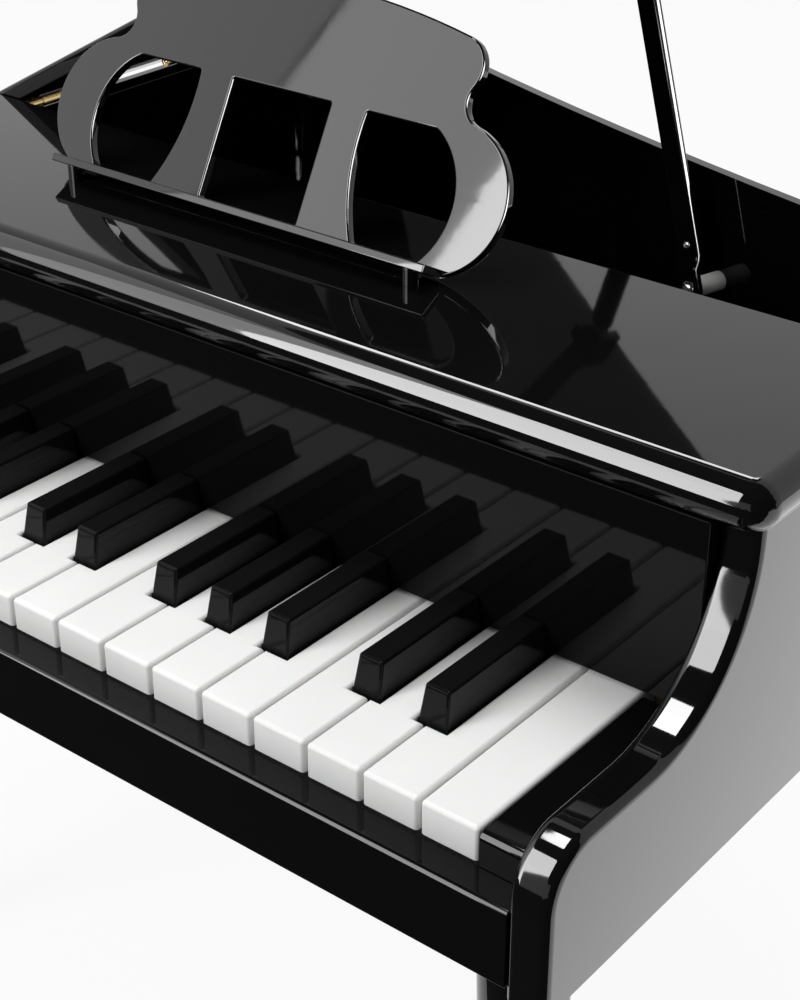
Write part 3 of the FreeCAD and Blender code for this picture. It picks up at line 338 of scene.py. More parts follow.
# %% Dust and wiping
SPECK_SCALE, SPECK_SPAN, SPECK_ROUGHNESS = 1500, (0.70, 0.78), 0.3
CLOUD_SCALE, CLOUD_SPAN = 5, (0.45, 0.75)
STREAK_SCALE, STREAK_DETAIL, STREAK_STRETCH = 14, 3, (1, 3, 1)
STREAK_SPAN, STREAK_ROUGHNESS = (0.4, 0.8), 0.025
dust, given, put = effect("dust_and_wiping", [("Base", 0.04), ("Dust", 0.5)], ["Roughness", "Specks"])
specks = ranged(dust, noise(dust, SPECK_SCALE, detail=1), SPECK_SPAN)
clouds = ranged(dust, noise(dust, CLOUD_SCALE), CLOUD_SPAN)
specks = math_node(dust, "MULTIPLY", math_node(dust, "MULTIPLY", specks, clouds), given["Dust"])
streaks = noise(dust, STREAK_SCALE, STREAK_DETAIL, STREAK_STRETCH)
streaks = ranged(dust, streaks, STREAK_SPAN, high=STREAK_ROUGHNESS)
rough = math_node(dust, "ADD", math_node(dust, "ADD", given["Base"], streaks),
                  math_node(dust, "MULTIPLY", specks, SPECK_ROUGHNESS))
dust.links.new(rough, put["Roughness"])
dust.links.new(specks, put["Specks"])
print(dust.name, list(put.keys()))

# %% [markdown]
# ## Drawn metal and wood grain
# Wire and strip are pulled through dies, which leaves lines along their length: a noise stretched
# along Y. Plain wood has growth rings stretched along the board and short dark pores, again two
# noises squeezed across the grain.

# %% Drawn metal and wood grain
LINE_SCALE, LINE_STRETCH = 900, (1, 0.03, 1)
RING_SCALE, RING_DETAIL, RING_STRETCH = 26, 4, (0.12, 1, 1.6)
PORE_SCALE, PORE_DETAIL, PORE_STRETCH = 700, 1, (0.05, 1, 1)
PORE_SPAN, PORE_SHARE = (0.55, 0.75), 0.25
drawn, given, put = effect("drawn_metal", [("Base", 0.2), ("Spread", 0.15)], ["Height", "Roughness"])
lines = noise(drawn, LINE_SCALE, stretch=LINE_STRETCH)
spread = math_node(drawn, "MULTIPLY", lines, given["Spread"])
drawn.links.new(lines, put["Height"])
drawn.links.new(math_node(drawn, "ADD", given["Base"], spread), put["Roughness"])

grain, given, put = effect("wood_grain", [("Ring Scale", RING_SCALE)], ["Grain", "Height"])
rings = noise(grain, given["Ring Scale"], RING_DETAIL, RING_STRETCH)
pores = ranged(grain, noise(grain, PORE_SCALE, PORE_DETAIL, PORE_STRETCH), PORE_SPAN)
darkened = math_node(grain, "MULTIPLY", pores, PORE_SHARE)
grain.links.new(math_node(grain, "SUBTRACT", rings, darkened), put["Grain"])
grain.links.new(pores, put["Height"])
print("effects", [group.name for group in bpy.data.node_groups])

# %% [markdown]
# ## Finishes
# Each finish is one material. Values that are the same all over sit on the Principled shader's own
# sockets, and what varies over the surface comes from the effects above. These helpers make the
# material, place a group in it, feed a height to a Bump node and blend two colours by a mask.

# %% Material helpers
def finish_material(name, colour, **values):
    made = bpy.data.materials.new(name)
    made.use_nodes = True
    shader = made.node_tree.nodes["Principled BSDF"]
    shader.inputs["Base Color"].default_value = (*colour, 1)
    for label, value in values.items():
        shader.inputs[label.replace("_", " ").title().replace("Ior", "IOR")].default_value = value
    return made, made.node_tree, shader


def placed(tree, group, **values):
    made = tree.nodes.new("ShaderNodeGroup")
    made.node_tree = group
    for label, value in values.items():
        made.inputs[label.replace("_", " ").title()].default_value = value
    return made.outputs


def bumped(tree, shader, height, distance):
    bump = node(tree, "ShaderNodeBump", {"Strength": 1.0, "Distance": distance, "Height": height})
    tree.links.new(bump["Normal"], shader.inputs["Normal"])


def tinted(tree, mask, first, second, shader):
    colours = {"Factor": mask, "A": (*first, 1), "B": (*second, 1)}
    blend = node(tree, "ShaderNodeMix", colours, data_type="RGBA")
    tree.links.new(blend["Result"], shader.inputs["Base Color"])


print("helpers", finish_material.__name__, placed.__name__, bumped.__name__, tinted.__name__)

# %% [markdown]
# ## Black lacquer, enamel and black plastic
# The case is sprayed black and polished, the prop is enamelled steel and the black keys are moulded.
# All three are a nearly black ground with a clear gloss, so one recipe makes them, with its own peel
# and roughness for each. The gloss is a little weaker than glass, which keeps the front views deep.
# The boards around the keys and the black keys have a duller gloss, so their refractive index is set
# lower.

# %% Black gloss
GLOSS_INDEX, SOFT_GLOSS_INDEX = 1.38, 1.23
SKIN_DEPTH = 0.000004
DUST_GREY = (0.10, 0.10, 0.10)
BLACK_DUST = 0.3


def gloss_black(name, ground, base, peel, index):
    made, tree, shader = finish_material(name, ground, ior=index)
    wiped = placed(tree, dust, base=base, dust=BLACK_DUST)
    tree.links.new(wiped["Roughness"], shader.inputs["Roughness"])
    tinted(tree, wiped["Specks"], ground, DUST_GREY, shader)
    bumped(tree, shader, placed(tree, skin, peel_scale=peel)["Height"], SKIN_DEPTH)
    return made


spray = {"ground": (0.003, 0.003, 0.0033), "base": 0.035, "peel": LACQUER_PEEL}
lacquer = gloss_black("black_lacquer", index=GLOSS_INDEX, **spray)
soft_lacquer = gloss_black("soft_black_lacquer", index=SOFT_GLOSS_INDEX, **spray)
enamel = gloss_black("black_enamel", (0.004, 0.004, 0.0044), base=0.08, peel=420, index=GLOSS_INDEX)
black_plastic = gloss_black(
    "black_plastic", (0.005, 0.005, 0.0055), base=0.06, peel=260, index=SOFT_GLOSS_INDEX)
print("black finishes", lacquer.name, soft_lacquer.name, enamel.name, black_plastic.name)

# %% [markdown]
# ## White plastic and nylon
# The white keys are moulded in a bright, slightly clouded plastic. A little light wanders below the
# surface, which softens their edges, and the gloss is blurred by handling. The spacer behind the prop
# is the same kind of moulding in a duller nylon.

# %% Moulded white
PLASTIC_INDEX = 1.46
CLOUDING, CLOUDING_DEPTH = 0.06, 0.003
MOULD_DUST = 0.25
MOULD_PEEL, MOULD_WAVE, MOULD_DEPTH = 300, 30, 0.000006
MOULD_PATCHES, PATCH_SPAN = 22, (0.35, 0.7)


def moulded(name, colour, shade, base):
    made, tree, shader = finish_material(
        name, colour, ior=PLASTIC_INDEX, subsurface_weight=CLOUDING, subsurface_scale=CLOUDING_DEPTH)
    wiped = placed(tree, dust, base=base, dust=MOULD_DUST)
    tree.links.new(wiped["Roughness"], shader.inputs["Roughness"])
    tinted(tree, ranged(tree, noise(tree, MOULD_PATCHES), PATCH_SPAN), colour, shade, shader)
    surface = placed(tree, skin, peel_scale=MOULD_PEEL, wave_scale=MOULD_WAVE)
    bumped(tree, shader, surface["Height"], MOULD_DEPTH)
    return made


white_plastic = moulded("white_plastic", (0.82, 0.82, 0.815), (0.79, 0.79, 0.785), base=0.16)
nylon = moulded("grey_nylon", (0.72, 0.72, 0.71), (0.64, 0.64, 0.63), base=0.42)
print("mouldings", white_plastic.name, nylon.name)

# %% [markdown]
# ## Metals
# Screws and pins are bright steel, the tone rods steel painted nearly black, a painted shade that
# keeps the inside of the case dark, the tone bar cast, and the hinges sheet brass. A metal tints its
# own mirror, so the base colour is the tint, and drawn lines blur it along the length.

# %% Metals
METAL_PATCHES = 60
LINE_DEPTH = 0.000008


def metal(name, colour, shade, base, spread):
    made, tree, shader = finish_material(name, colour, metallic=1.0)
    pulled = placed(tree, drawn, base=base, spread=spread)
    tree.links.new(pulled["Roughness"], shader.inputs["Roughness"])
    tinted(tree, ranged(tree, noise(tree, METAL_PATCHES, detail=3), PATCH_SPAN), colour, shade, shader)
    bumped(tree, shader, pulled["Height"], LINE_DEPTH)
    return made


steel = metal("bright_steel", (0.72, 0.72, 0.73), (0.60, 0.60, 0.61), base=0.16, spread=0.14)
# The tone rods' steel is painted nearly black: painted shade that keeps the inside of the case dark and the
# rods out of the mirrors of its walls.
dark_steel = metal("dark_steel", (0.055, 0.055, 0.058), (0.035, 0.035, 0.037), base=0.40, spread=0.14)
cast = metal("cast_bar", (0.23, 0.23, 0.24), (0.17, 0.17, 0.18), base=0.48, spread=0.2)
brass = metal("sheet_brass", (0.80, 0.58, 0.26), (0.70, 0.50, 0.22), base=0.15, spread=0.14)
print("metals", steel.name, dark_steel.name, cast.name, brass.name)

# %% [markdown]
# ## Plain wood, felt and rubber
# The rails inside are left unpainted, the keys land on strips of charcoal felt, and the legs stand on
# rubber pads. Wood takes its colour and its bump from the grain group. Felt and rubber are fine noise
# with a strong bump, and felt adds sheen, the pale bloom of loose fibres seen edge on.

# %% Wood, felt and rubber
WOOD_SHINE, GRAIN_SPAN, PORE_DEPTH = 0.3, (0.25, 0.65), -0.00005
WOOD_ROUGHNESS, PORE_ROUGHNESS = 0.55, 0.8
FIBRE_SHINE, FIBRE_ROUGHNESS = 0.2, 0.95
FIBRE_DETAIL, FIBRE_STRETCH, FIBRE_SPAN = 6, (1, 1.6, 1), (0.3, 0.7)


def plain_wood(name, light, dark):
    made, tree, shader = finish_material(name, light, specular_ior_level=WOOD_SHINE)
    cut = placed(tree, grain)
    tinted(tree, ranged(tree, cut["Grain"], GRAIN_SPAN), dark, light, shader)
    rough = ranged(tree, cut["Height"], (0, 1), WOOD_ROUGHNESS, PORE_ROUGHNESS)
    tree.links.new(rough, shader.inputs["Roughness"])
    bumped(tree, shader, cut["Height"], PORE_DEPTH)
    return made


def fibrous(name, light, dark, scale, depth, sheen):
    made, tree, shader = finish_material(
        name, light, roughness=FIBRE_ROUGHNESS, specular_ior_level=FIBRE_SHINE, sheen_weight=sheen)
    fibre = noise(tree, scale, FIBRE_DETAIL, FIBRE_STRETCH)
    tinted(tree, ranged(tree, fibre, FIBRE_SPAN), dark, light, shader)
    bumped(tree, shader, fibre, depth)
    return made


bare_wood = plain_wood("bare_wood", (0.60, 0.43, 0.27), (0.42, 0.28, 0.16))
felt = fibrous(
    "wool_felt", (0.060, 0.060, 0.063), (0.032, 0.032, 0.034), scale=900, depth=0.0006, sheen=0.3)
rubber = fibrous(
    "pad_rubber", (0.045, 0.045, 0.045), (0.03, 0.03, 0.03), scale=600, depth=0.0001, sheen=0.0)
print("finishes", [made.name for made in bpy.data.materials])

# %% [markdown]
# ## Polished copies of the solids
# The construction mesh is right in shape, but it is loose triangles with razor edges, and a razor
# edge catches no light. A copy is welded, its flat faces are joined, its edges get a small rounding
# and its normals are weighted by face size, so that flats stay flat and roundings stay smooth. The
# copy then stands for the solid and rides on the same body.

# %% Copying and polishing
WELD = 2e-6
FLAT_ANGLE = math.radians(0.15)
EDGE_ANGLE = math.radians(30)
ROUNDING_STEPS = 3


def welded(name):
    """A construction node's mesh as a bmesh with shared corners."""
    work = bmesh.new()
    work.from_mesh(frame["nodes"][name].data)
    bmesh.ops.remove_doubles(work, verts=work.verts, dist=WELD)
    return work


def made_plain(thing):
    """Replaces an object's live modifiers by the mesh that they give."""
    evaluated = thing.evaluated_get(bpy.context.evaluated_depsgraph_get())
    mesh = bpy.data.meshes.new_from_object(evaluated)
    thing.modifiers.clear()
    thing.data = mesh
    return thing


def stands_for(thing, name):
    """The piece rides where the node rides and hides it."""
    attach(thing, frame["nodes"][name]["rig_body"])
    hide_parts(name)
    return thing


def polished(name, material, rounding):
    """A finished copy of a node, with its edges rounded."""
    work = welded(name)
    bmesh.ops.dissolve_limit(work, angle_limit=FLAT_ANGLE, verts=work.verts, edges=work.edges)
    mesh = bpy.data.meshes.new(f"{name}_shown")
    work.to_mesh(mesh)
    work.free()
    mesh.shade_smooth()
    mesh.materials.clear()
    mesh.materials.append(material)
    thing = bpy.data.objects.new(mesh.name, mesh)
    scene.collection.objects.link(thing)
    edge = thing.modifiers.new("rounding", "BEVEL")
    edge.width = rounding
    edge.segments = ROUNDING_STEPS
    edge.limit_method = "ANGLE"
    edge.angle_limit = EDGE_ANGLE
    edge.miter_outer = "MITER_ARC"
    thing.modifiers.new("weighing", "WEIGHTED_NORMAL").mode = "FACE_AREA"
    return stands_for(made_plain(thing), name)


print("weld", WELD, "m, rounding in", ROUNDING_STEPS, "steps")

# %% [markdown]
# ## Case, lid and music desk
# The boards of the case are sprayed after they are cut, so every edge is a little round under the
# lacquer. The width of that rounding decides how broad the bright line along an edge is: under a
# millimetre on the boards, less on the small pegs.

# %% Case, lid and music desk
LACQUERED = {
    "right_side": 0.0006, "left_side": 0.0006, "bent_side": 0.0008, "bottom_board": 0.0005,
    "key_slip": 0.0004, "cheek_blocks": 0.0006, "fallboard": 0.0005, "top_board": 0.0006, "lid": 0.0008,
    "music_desk": 0.0008, "desk_ledge": 0.0005, "desk_pegs": 0.0003,
}
AROUND_THE_KEYS = ("fallboard", "cheek_blocks", "key_slip")
for name, rounding in LACQUERED.items():
    piece = polished(name, soft_lacquer if name in AROUND_THE_KEYS else lacquer, rounding)
    print(name, len(piece.data.polygons), "faces")

# %% [markdown]
# ## Keys
# Each key is one moulding on its own pivot, so each is its own piece on its own body. The white keys
# have soft edges and the black keys a narrower crown, both from the construction model; the polish
# here only breaks the razor edges that are left below.

# %% Keys
KEY_ROUNDING = 0.0003
key_names = sorted(name for name in frame["nodes"] if "_key_" in name)
for name in key_names:
    polished(name, white_plastic if name.startswith("white") else black_plastic, KEY_ROUNDING)
print("keys", len(key_names))

# %% [markdown]
# ## Rails, tone bar, prop and small parts
# What carries the keys is plain sawn wood, and what sounds is metal. The prop that holds the lid is a
# bent steel bar, enamelled black, with rounder edges than the boards, and it leans in a moulded cup.
# Their solids are right as they are, so each only gets its polish and its finish.

# %% Rails, tone bar, prop and small parts
INNER_WORKS = {
    "front_rail": (bare_wood, 0.0005), "back_rail": (bare_wood, 0.0005), "balance_rail": (bare_wood, 0.0005),
    "tone_beam": (bare_wood, 0.0006), "tone_bar": (cast, 0.0006), "prop_stick": (enamel, 0.0014),
    "prop_cup": (black_plastic, 0.0006), "prop_spacer": (nylon, 0.0004), "key_pivot_rod": (steel, 0.0002),
    "hinge_pins": (steel, 0.0002), "case_hinge_leaves": (brass, 0.0002), "lid_hinge_leaves": (brass, 0.0002),
    "foot_pads": (rubber, 0.0006),
}
for name, (material, rounding) in INNER_WORKS.items():
    polished(name, material, rounding)
print("inner works", len(INNER_WORKS))

# %% [markdown]
# ## What the lamps leave alone
# A glossy fallboard mirrors glossy keys, and a lamp caught by both would wash the picture of the keys
# out. A photographer flags the lamp off with a black cloth. Light linking does the same: a collection
# names the pieces that a lamp skips, or the only ones that it reaches. The strip behind also passes
# the raised lid, which would stand in its way.

# %% Flagging the lamps off
def piece_list(label, names, state):
    """A collection of shown pieces that a lamp skips (EXCLUDE) or that alone count for it (INCLUDE)."""
    listed = bpy.data.collections.new(label)
    for name in names:
        listed.objects.link(bpy.data.objects[f"{name}_shown"])
    for entry in listed.collection_objects:
        entry.light_linking.link_state = state
    return listed


def linked(lamp, names, state):
    lamp.light_linking.receiver_collection = piece_list(f"{lamp.name}_pieces", names, state)


for name in ("tall_box", "near_screen", "far_screen"):
    linked(lamps[name], key_names + ["fallboard", "lid"], "EXCLUDE")
linked(lamps["glint_strip"], ["top_board"], "EXCLUDE")
linked(lamps["right_panel"], ["prop_stick", "music_desk", "desk_ledge", "bent_side"], "INCLUDE")
linked(lamps["nose_strip"], ["top_board"], "INCLUDE")
lamps["nose_strip"].light_linking.blocker_collection = piece_list("nose_strip_passes", ["lid"], "EXCLUDE")

# %% [markdown]
# ## Geometry trees
# Turned legs, rods, screws and felt strips follow rules, so each kind is grown by a geometry tree
# from a few points. A tree takes its sizes as named inputs and ends alike: smooth faces with crisp
# edges, real geometry in place of instances, and a finish.

# %% Geometry tree helpers
def geometry_tree(name, inputs):
    """Empty geometry tree with named inputs; returns tree, inputs and outputs."""
    made = bpy.data.node_groups.new(name, "GeometryNodeTree")
    made.interface.new_socket("Geometry", in_out="INPUT", socket_type="NodeSocketGeometry")
    for label, kind in inputs:
        made.interface.new_socket(label, in_out="INPUT", socket_type=f"NodeSocket{kind}")
    made.interface.new_socket("Geometry", in_out="OUTPUT", socket_type="NodeSocketGeometry")
    return made, made.nodes.new("NodeGroupInput").outputs, made.nodes.new("NodeGroupOutput").inputs


def named_values(tree, label, kind):
    return node(tree, "GeometryNodeInputNamedAttribute", {"Name": label}, data_type=kind)["Attribute"]


def finished(tree, shape, angle, material, put):
    """Smooth shading but for edges sharper than the angle, real geometry and a finish."""
    bend = node(tree, "GeometryNodeInputMeshEdgeAngle")["Unsigned Angle"]
    sharp = node(tree, "FunctionNodeCompare", {"A": bend, "B": angle}, operation="GREATER_THAN")["Result"]
    real = node(tree, "GeometryNodeRealizeInstances", {"Geometry": shape})["Geometry"]
    smooth = node(tree, "GeometryNodeSetShadeSmooth", {"Geometry": real, "Shade Smooth": True})["Geometry"]
    edged = {"Geometry": smooth, "Selection": sharp, "Shade Smooth": False}
    creased = node(tree, "GeometryNodeSetShadeSmooth", edged, domain="EDGE")["Geometry"]
    painted = node(tree, "GeometryNodeSetMaterial", {"Geometry": creased, "Material": material})["Geometry"]
    tree.links.new(painted, put["Geometry"])


print("helpers", geometry_tree.__name__, named_values.__name__, finished.__name__)

# %% [markdown]
# ## Growing a piece
# The points that a tree grows on come from the solids, so that every piece lies where the construction
# has it. A node may hold several loose solids, so they are told apart first, each by its box. The
# tree's result is turned into a plain mesh and the modifier goes, because a kept model has no live
# trees.

# %% Growing and measuring helpers
SMALL_STEP = 0.0002


def grown(name, tree, points, lines=(), values=None, **sizes):
    """Runs a tree on a mesh of points and lines with named values, and returns a plain piece."""
    mesh = bpy.data.meshes.new(name)
    mesh.from_pydata(points, lines, [])
    for label, (kind, key, numbers) in (values or {}).items():
        layer = mesh.attributes.new(label, kind, "POINT")
        layer.data.foreach_set(key, numbers)
    thing = bpy.data.objects.new(name, mesh)
    scene.collection.objects.link(thing)
    growth = thing.modifiers.new("growth", "NODES")
    growth.node_group = tree
    for socket in tree.interface.items_tree:
        label = socket.name.lower().replace(" ", "_")
        if socket.in_out == "INPUT" and label in sizes:
            growth[socket.identifier] = sizes[label]
    made_plain(thing)
    print(name, len(thing.data.polygons), "faces")
    return thing


def loose_boxes(name):
    """Lowest and highest corner of each loose solid of a node, from left to right."""
    work = welded(name)
    waiting = set(work.verts)
    boxes = []
    while waiting:
        pile = [waiting.pop()]
        island = []
        while pile:
            corner = pile.pop()
            island.append(corner.co.copy())
            near = {edge.other_vert(corner) for edge in corner.link_edges} & waiting
            waiting -= near
            pile.extend(near)
        low = Vector(min(corner[axis] for corner in island) for axis in range(3))
        high = Vector(max(corner[axis] for corner in island) for axis in range(3))
        boxes.append((low, high))
    work.free()
    return sorted(boxes, key=lambda box: (round(box[0].x, 5), round(box[0].y, 5)))


def rings_about(name, middle, way, reach):
    """Place along an axis and distance from it, for each corner of a node within reach of the axis."""
    offsets = [corner.co - middle for corner in frame["nodes"][name].data.vertices]
    rings = [(offset.dot(way), (offset - way * offset.dot(way)).length) for offset in offsets]
    return [(along, radius) for along, radius in rings if radius < reach]


print("helpers", grown.__name__, loose_boxes.__name__, rings_about.__name__)

# %% [markdown]
# ## Turned work
# A lathe turns a blank about its axis while the tool follows a profile. The tree does the same: a line
# of points along the axis, each with its own radius, is swept with a unit circle that is scaled by
# that radius. Legs and rods differ only in their points.

# %% Turned work tree
LEG_SIDES, ROD_SIDES = 72, 16
TURNED_EDGE = math.radians(32)
lathe, given, put = geometry_tree("turned_work", [("Sides", "Int"), ("Finish", "Material")])
axis_line = node(lathe, "GeometryNodeMeshToCurve", {"Mesh": given["Geometry"]})["Curve"]
circle = {"Resolution": given["Sides"], "Radius": 1.0}
unit_rim = node(lathe, "GeometryNodeCurvePrimitiveCircle", circle)["Curve"]
radius_along = named_values(lathe, "turned_radius", "FLOAT")
sweep = {"Curve": axis_line, "Profile Curve": unit_rim, "Scale": radius_along, "Fill Caps": True}
swept = node(lathe, "GeometryNodeCurveToMesh", sweep)["Mesh"]
finished(lathe, swept, TURNED_EDGE, given["Finish"], put)


def turned_piece(name, routes, sides, material):
    """One mesh of turned pieces; a route is a list of places with their radius."""
    points = [place for route in routes for place, radius in route]
    radii = [radius for route in routes for place, radius in route]
    lines = []
    start = 0
    for route in routes:
        lines += [(index, index + 1) for index in range(start, start + len(route) - 1)]
        start += len(route)
    values = {"turned_radius": ("FLOAT", "value", radii)}
    return grown(name, lathe, points, lines, values, sides=sides, finish=material)


print(lathe.name, list(given.keys()))

# %% [markdown]
# ## Mouldings of a leg
# A turner works with a few cuts that have names: a bead is a half round that stands out, a cove is a
# hollow, and an edge is eased so that it doesn't chip. Each is a short list of heights and radii.

# %% Mouldings of a leg
BEAD_STEPS = 8
EASE = 0.0012


def bead(low, high, inner, outer):
    """A half round moulding between two heights, from the inner radius out to the outer one."""
    rows = []
    for step in range(BEAD_STEPS + 1):
        angle = math.pi * step / BEAD_STEPS
        height = (low + high) / 2 - (high - low) / 2 * math.cos(angle)
        rows.append((height, inner + (outer - inner) * math.sin(angle)))
    return rows


def cove(low, high, outer, inner):
    """A hollow between two heights, deepest half way up."""
    rows = []
    for step in range(1, BEAD_STEPS):
        angle = math.pi * step / BEAD_STEPS
        rows.append((low + (high - low) * step / BEAD_STEPS, outer - (outer - inner) * math.sin(angle)))
    return rows


print("mouldings", bead.__name__, cove.__name__)

# %% [markdown]
# ## Legs
# Three turned legs carry the case. Each tapers from a slim foot to a ring, a hollow neck and a broad
# collar under the bottom board, and a hidden tenon goes up into the board. The heights and radii of
# the profile are read off the solid, which has two rings of corners wherever it steps. Its square
# steps become beads and eased edges that stay inside them.

# %% Legs
RING_DIGITS = 5
LEG_REACH = 0.05


def leg_profile(foot, top, rings):
    """Heights and radii of one leg, from the foot to the end of its tenon."""
    radii = {}
    for height, radius in rings:
        radii.setdefault(round(height, RING_DIGITS), set()).add(round(radius, RING_DIGITS))
    steps = [height for height in sorted(radii) if max(radii[height]) - min(radii[height]) > SMALL_STEP]
    taper_top, ring_top, neck_top, collar_top = steps
    foot_radius = max(radii[min(radii)])
    taper_radius, ring_radius = min(radii[taper_top]), max(radii[taper_top])
    neck_radius, collar_radius = min(radii[neck_top]), max(radii[neck_top])
    tenon_radius = min(radii[collar_top])
    rows = [(foot, foot_radius - EASE), (foot + EASE / 3, foot_radius - EASE / 3), (foot + EASE, foot_radius)]
    rows += [(taper_top - EASE, taper_radius - SMALL_STEP), (taper_top - SMALL_STEP, neck_radius)]
    rows += bead(taper_top, ring_top, neck_radius + EASE, ring_radius)
    rows += cove(ring_top, neck_top, neck_radius + EASE, neck_radius - EASE)
    rows += [(neck_top, neck_radius + EASE), (neck_top + SMALL_STEP, collar_radius - EASE * 2)]
    rows += [(neck_top + EASE, collar_radius - EASE / 2), (neck_top + EASE * 2, collar_radius)]
    rows += [(collar_top - EASE, collar_radius), (collar_top - SMALL_STEP, collar_radius - EASE)]
    return rows + [(collar_top, tenon_radius), (top - EASE, tenon_radius), (top, tenon_radius - EASE)]


leg_routes = []
for low, high in loose_boxes("legs"):
    axis_foot = Vector(((low.x + high.x) / 2, (low.y + high.y) / 2, 0))
    profile = leg_profile(low.z, high.z, rings_about("legs", axis_foot, Vector((0, 0, 1)), LEG_REACH))
    leg_routes.append([((axis_foot.x, axis_foot.y, z), radius) for z, radius in profile])
stands_for(turned_piece("turned_legs", leg_routes, LEG_SIDES, lacquer), "legs")

# %% [markdown]
# ## Tone rods
# A toy piano has no strings: each hammer strikes a steel rod that is pressed into the tone bar at one
# end. The rods get shorter to the right, like organ pipes in a row. The free end is ground round, so
# the last points of each rod draw in.

# %% Tone rods
ROD_END_SHARES = [(0.0, 1.0), (0.55, 0.84), (0.9, 0.44)]
rod_routes = []
for low, high in loose_boxes("tone_rods"):
    middle = (low + high) / 2
    radius = (high.z - low.z) / 2
    route = [((middle.x, low.y, middle.z), radius)]
    for along_share, radius_share in ROD_END_SHARES:
        end = high.y - radius * (1 - along_share)
        route.append(((middle.x, end, middle.z), radius * radius_share))
    rod_routes.append(route)
# The rods take the nearly black steel, a painted shade for the dark inside of the case.
stands_for(turned_piece("steel_tone_rods", rod_routes, ROD_SIDES, dark_steel), "tone_rods")

# %% [markdown]
# ## Screw tree
# Every screw here is the same idea: a low domed head with a crossed recess on a straight shank. Both
# are rounds swept along a short line, as on the lathe. The dome follows a circle: its radius falls as
# the square root of one minus the square of the way up.

# %% Screw tree: head and shank
SCREW_SIDES, DOME_ROWS = 40, 9
DOME_SHARE = 0.96
driven, given, put = geometry_tree("cross_screws", [
    ("Head Radius", "Float"), ("Head Height", "Float"), ("Shank Radius", "Float"), ("Shank Length", "Float"),
    ("Recess Width", "Float"), ("Recess Depth", "Float"), ("Seed", "Int"), ("Finish", "Material"),
])


def at_height(height):
    return node(driven, "ShaderNodeCombineXYZ", {"Z": height})["Vector"]


def swept_round(start, end, rows, scale):
    circle = {"Resolution": SCREW_SIDES, "Radius": 1.0}
    rim = node(driven, "GeometryNodeCurvePrimitiveCircle", circle)["Curve"]
    line = node(driven, "GeometryNodeCurvePrimitiveLine", {"Start": start, "End": end})["Curve"]
    line = node(driven, "GeometryNodeResampleCurve", {"Curve": line, "Count": rows})["Curve"]
    sweep = {"Curve": line, "Profile Curve": rim, "Scale": scale, "Fill Caps": True}
    return node(driven, "GeometryNodeCurveToMesh", sweep)["Mesh"]


along = math_node(driven, "MULTIPLY", node(driven, "GeometryNodeSplineParameter")["Factor"], DOME_SHARE)
below_one = math_node(driven, "SUBTRACT", 1.0, math_node(driven, "MULTIPLY", along, along))
dome_radius = math_node(driven, "MULTIPLY", math_node(driven, "SQRT", below_one), given["Head Radius"])
head = swept_round(at_height(0.0), at_height(given["Head Height"]), DOME_ROWS, dome_radius)
buried = math_node(driven, "MULTIPLY", given["Shank Length"], -1.0)
shank = swept_round(at_height(buried), at_height(0.0), 2, given["Shank Radius"])
print(driven.name, list(given.keys()))

# %% [markdown]
# ## Recess and driving
# Two crossed bars cut the recess out of the head with a Boolean, the second a little deeper, so that
# no faces coincide. A copy of the screw goes on each point. The point's own direction says which way
# the head looks, and a seeded random turn keeps the recesses from lining up, as hand driven screws
# never do.

# %% Screw tree: recess and driving
RECESS_LENGTH_SHARE = 1.15
RECESS_WIDTH_SHARE, RECESS_DEPTH_SHARE = 0.3, 0.55
FIRST_BAR_SHARE, SECOND_BAR_SHARE = 2.0, 2.2
SCREW_SEED = 11
bar_length = math_node(driven, "MULTIPLY", given["Head Radius"], RECESS_LENGTH_SHARE)
bar_width = given["Recess Width"]
for across, over, share in (
        (bar_length, bar_width, FIRST_BAR_SHARE), (bar_width, bar_length, SECOND_BAR_SHARE)):
    deep = math_node(driven, "MULTIPLY", given["Recess Depth"], share)
    size = node(driven, "ShaderNodeCombineXYZ", {"X": across, "Y": over, "Z": deep})["Vector"]
    bar = node(driven, "GeometryNodeMeshCube", {"Size": size})["Mesh"]
    lifted = {"Geometry": bar, "Translation": at_height(given["Head Height"])}
    cut = {0: head, 1: node(driven, "GeometryNodeTransform", lifted)["Geometry"]}
    head = node(driven, "GeometryNodeMeshBoolean", cut, operation="DIFFERENCE", solver="EXACT")["Mesh"]
whole = driven.nodes.new("GeometryNodeJoinGeometry")
for piece in (head, shank):
    driven.links.new(piece, whole.inputs["Geometry"])
facing = node(driven, "FunctionNodeAlignRotationToVector",
              {"Vector": named_values(driven, "way", "FLOAT_VECTOR")}, axis="Z")["Rotation"]
spin = node(driven, "FunctionNodeRandomValue", {2: 0.0, 3: math.tau, "Seed": given["Seed"]})[1]
spun = node(driven, "FunctionNodeAxisAngleToRotation", {"Axis": (0, 0, 1), "Angle": spin})["Rotation"]
turned = node(driven, "FunctionNodeRotateRotation", {"Rotation": facing, "Rotate By": spun},
              rotation_space="LOCAL")["Rotation"]
spots = node(driven, "GeometryNodeMeshToPoints", {"Mesh": given["Geometry"]})["Points"]
copies = node(driven, "GeometryNodeInstanceOnPoints",
              {"Points": spots, "Instance": whole.outputs["Geometry"], "Rotation": turned})["Instances"]
finished(driven, copies, TURNED_EDGE, given["Finish"], put)


def screws(name, places, ways, head_radius, head_height, shank_radius, shank_length, material):
    """One mesh of screws; a place is the middle of the head's seat and a way is where the head looks."""
    numbers = [number for way in ways for number in way]
    return grown(
        name, driven, [tuple(place) for place in places], values={"way": ("FLOAT_VECTOR", "vector", numbers)},
        head_radius=head_radius, head_height=head_height, shank_radius=shank_radius,
        shank_length=shank_length, recess_width=head_radius * RECESS_WIDTH_SHARE,
        recess_depth=head_height * RECESS_DEPTH_SHARE, seed=SCREW_SEED, finish=material)


print(driven.name, len(driven.nodes), "nodes")

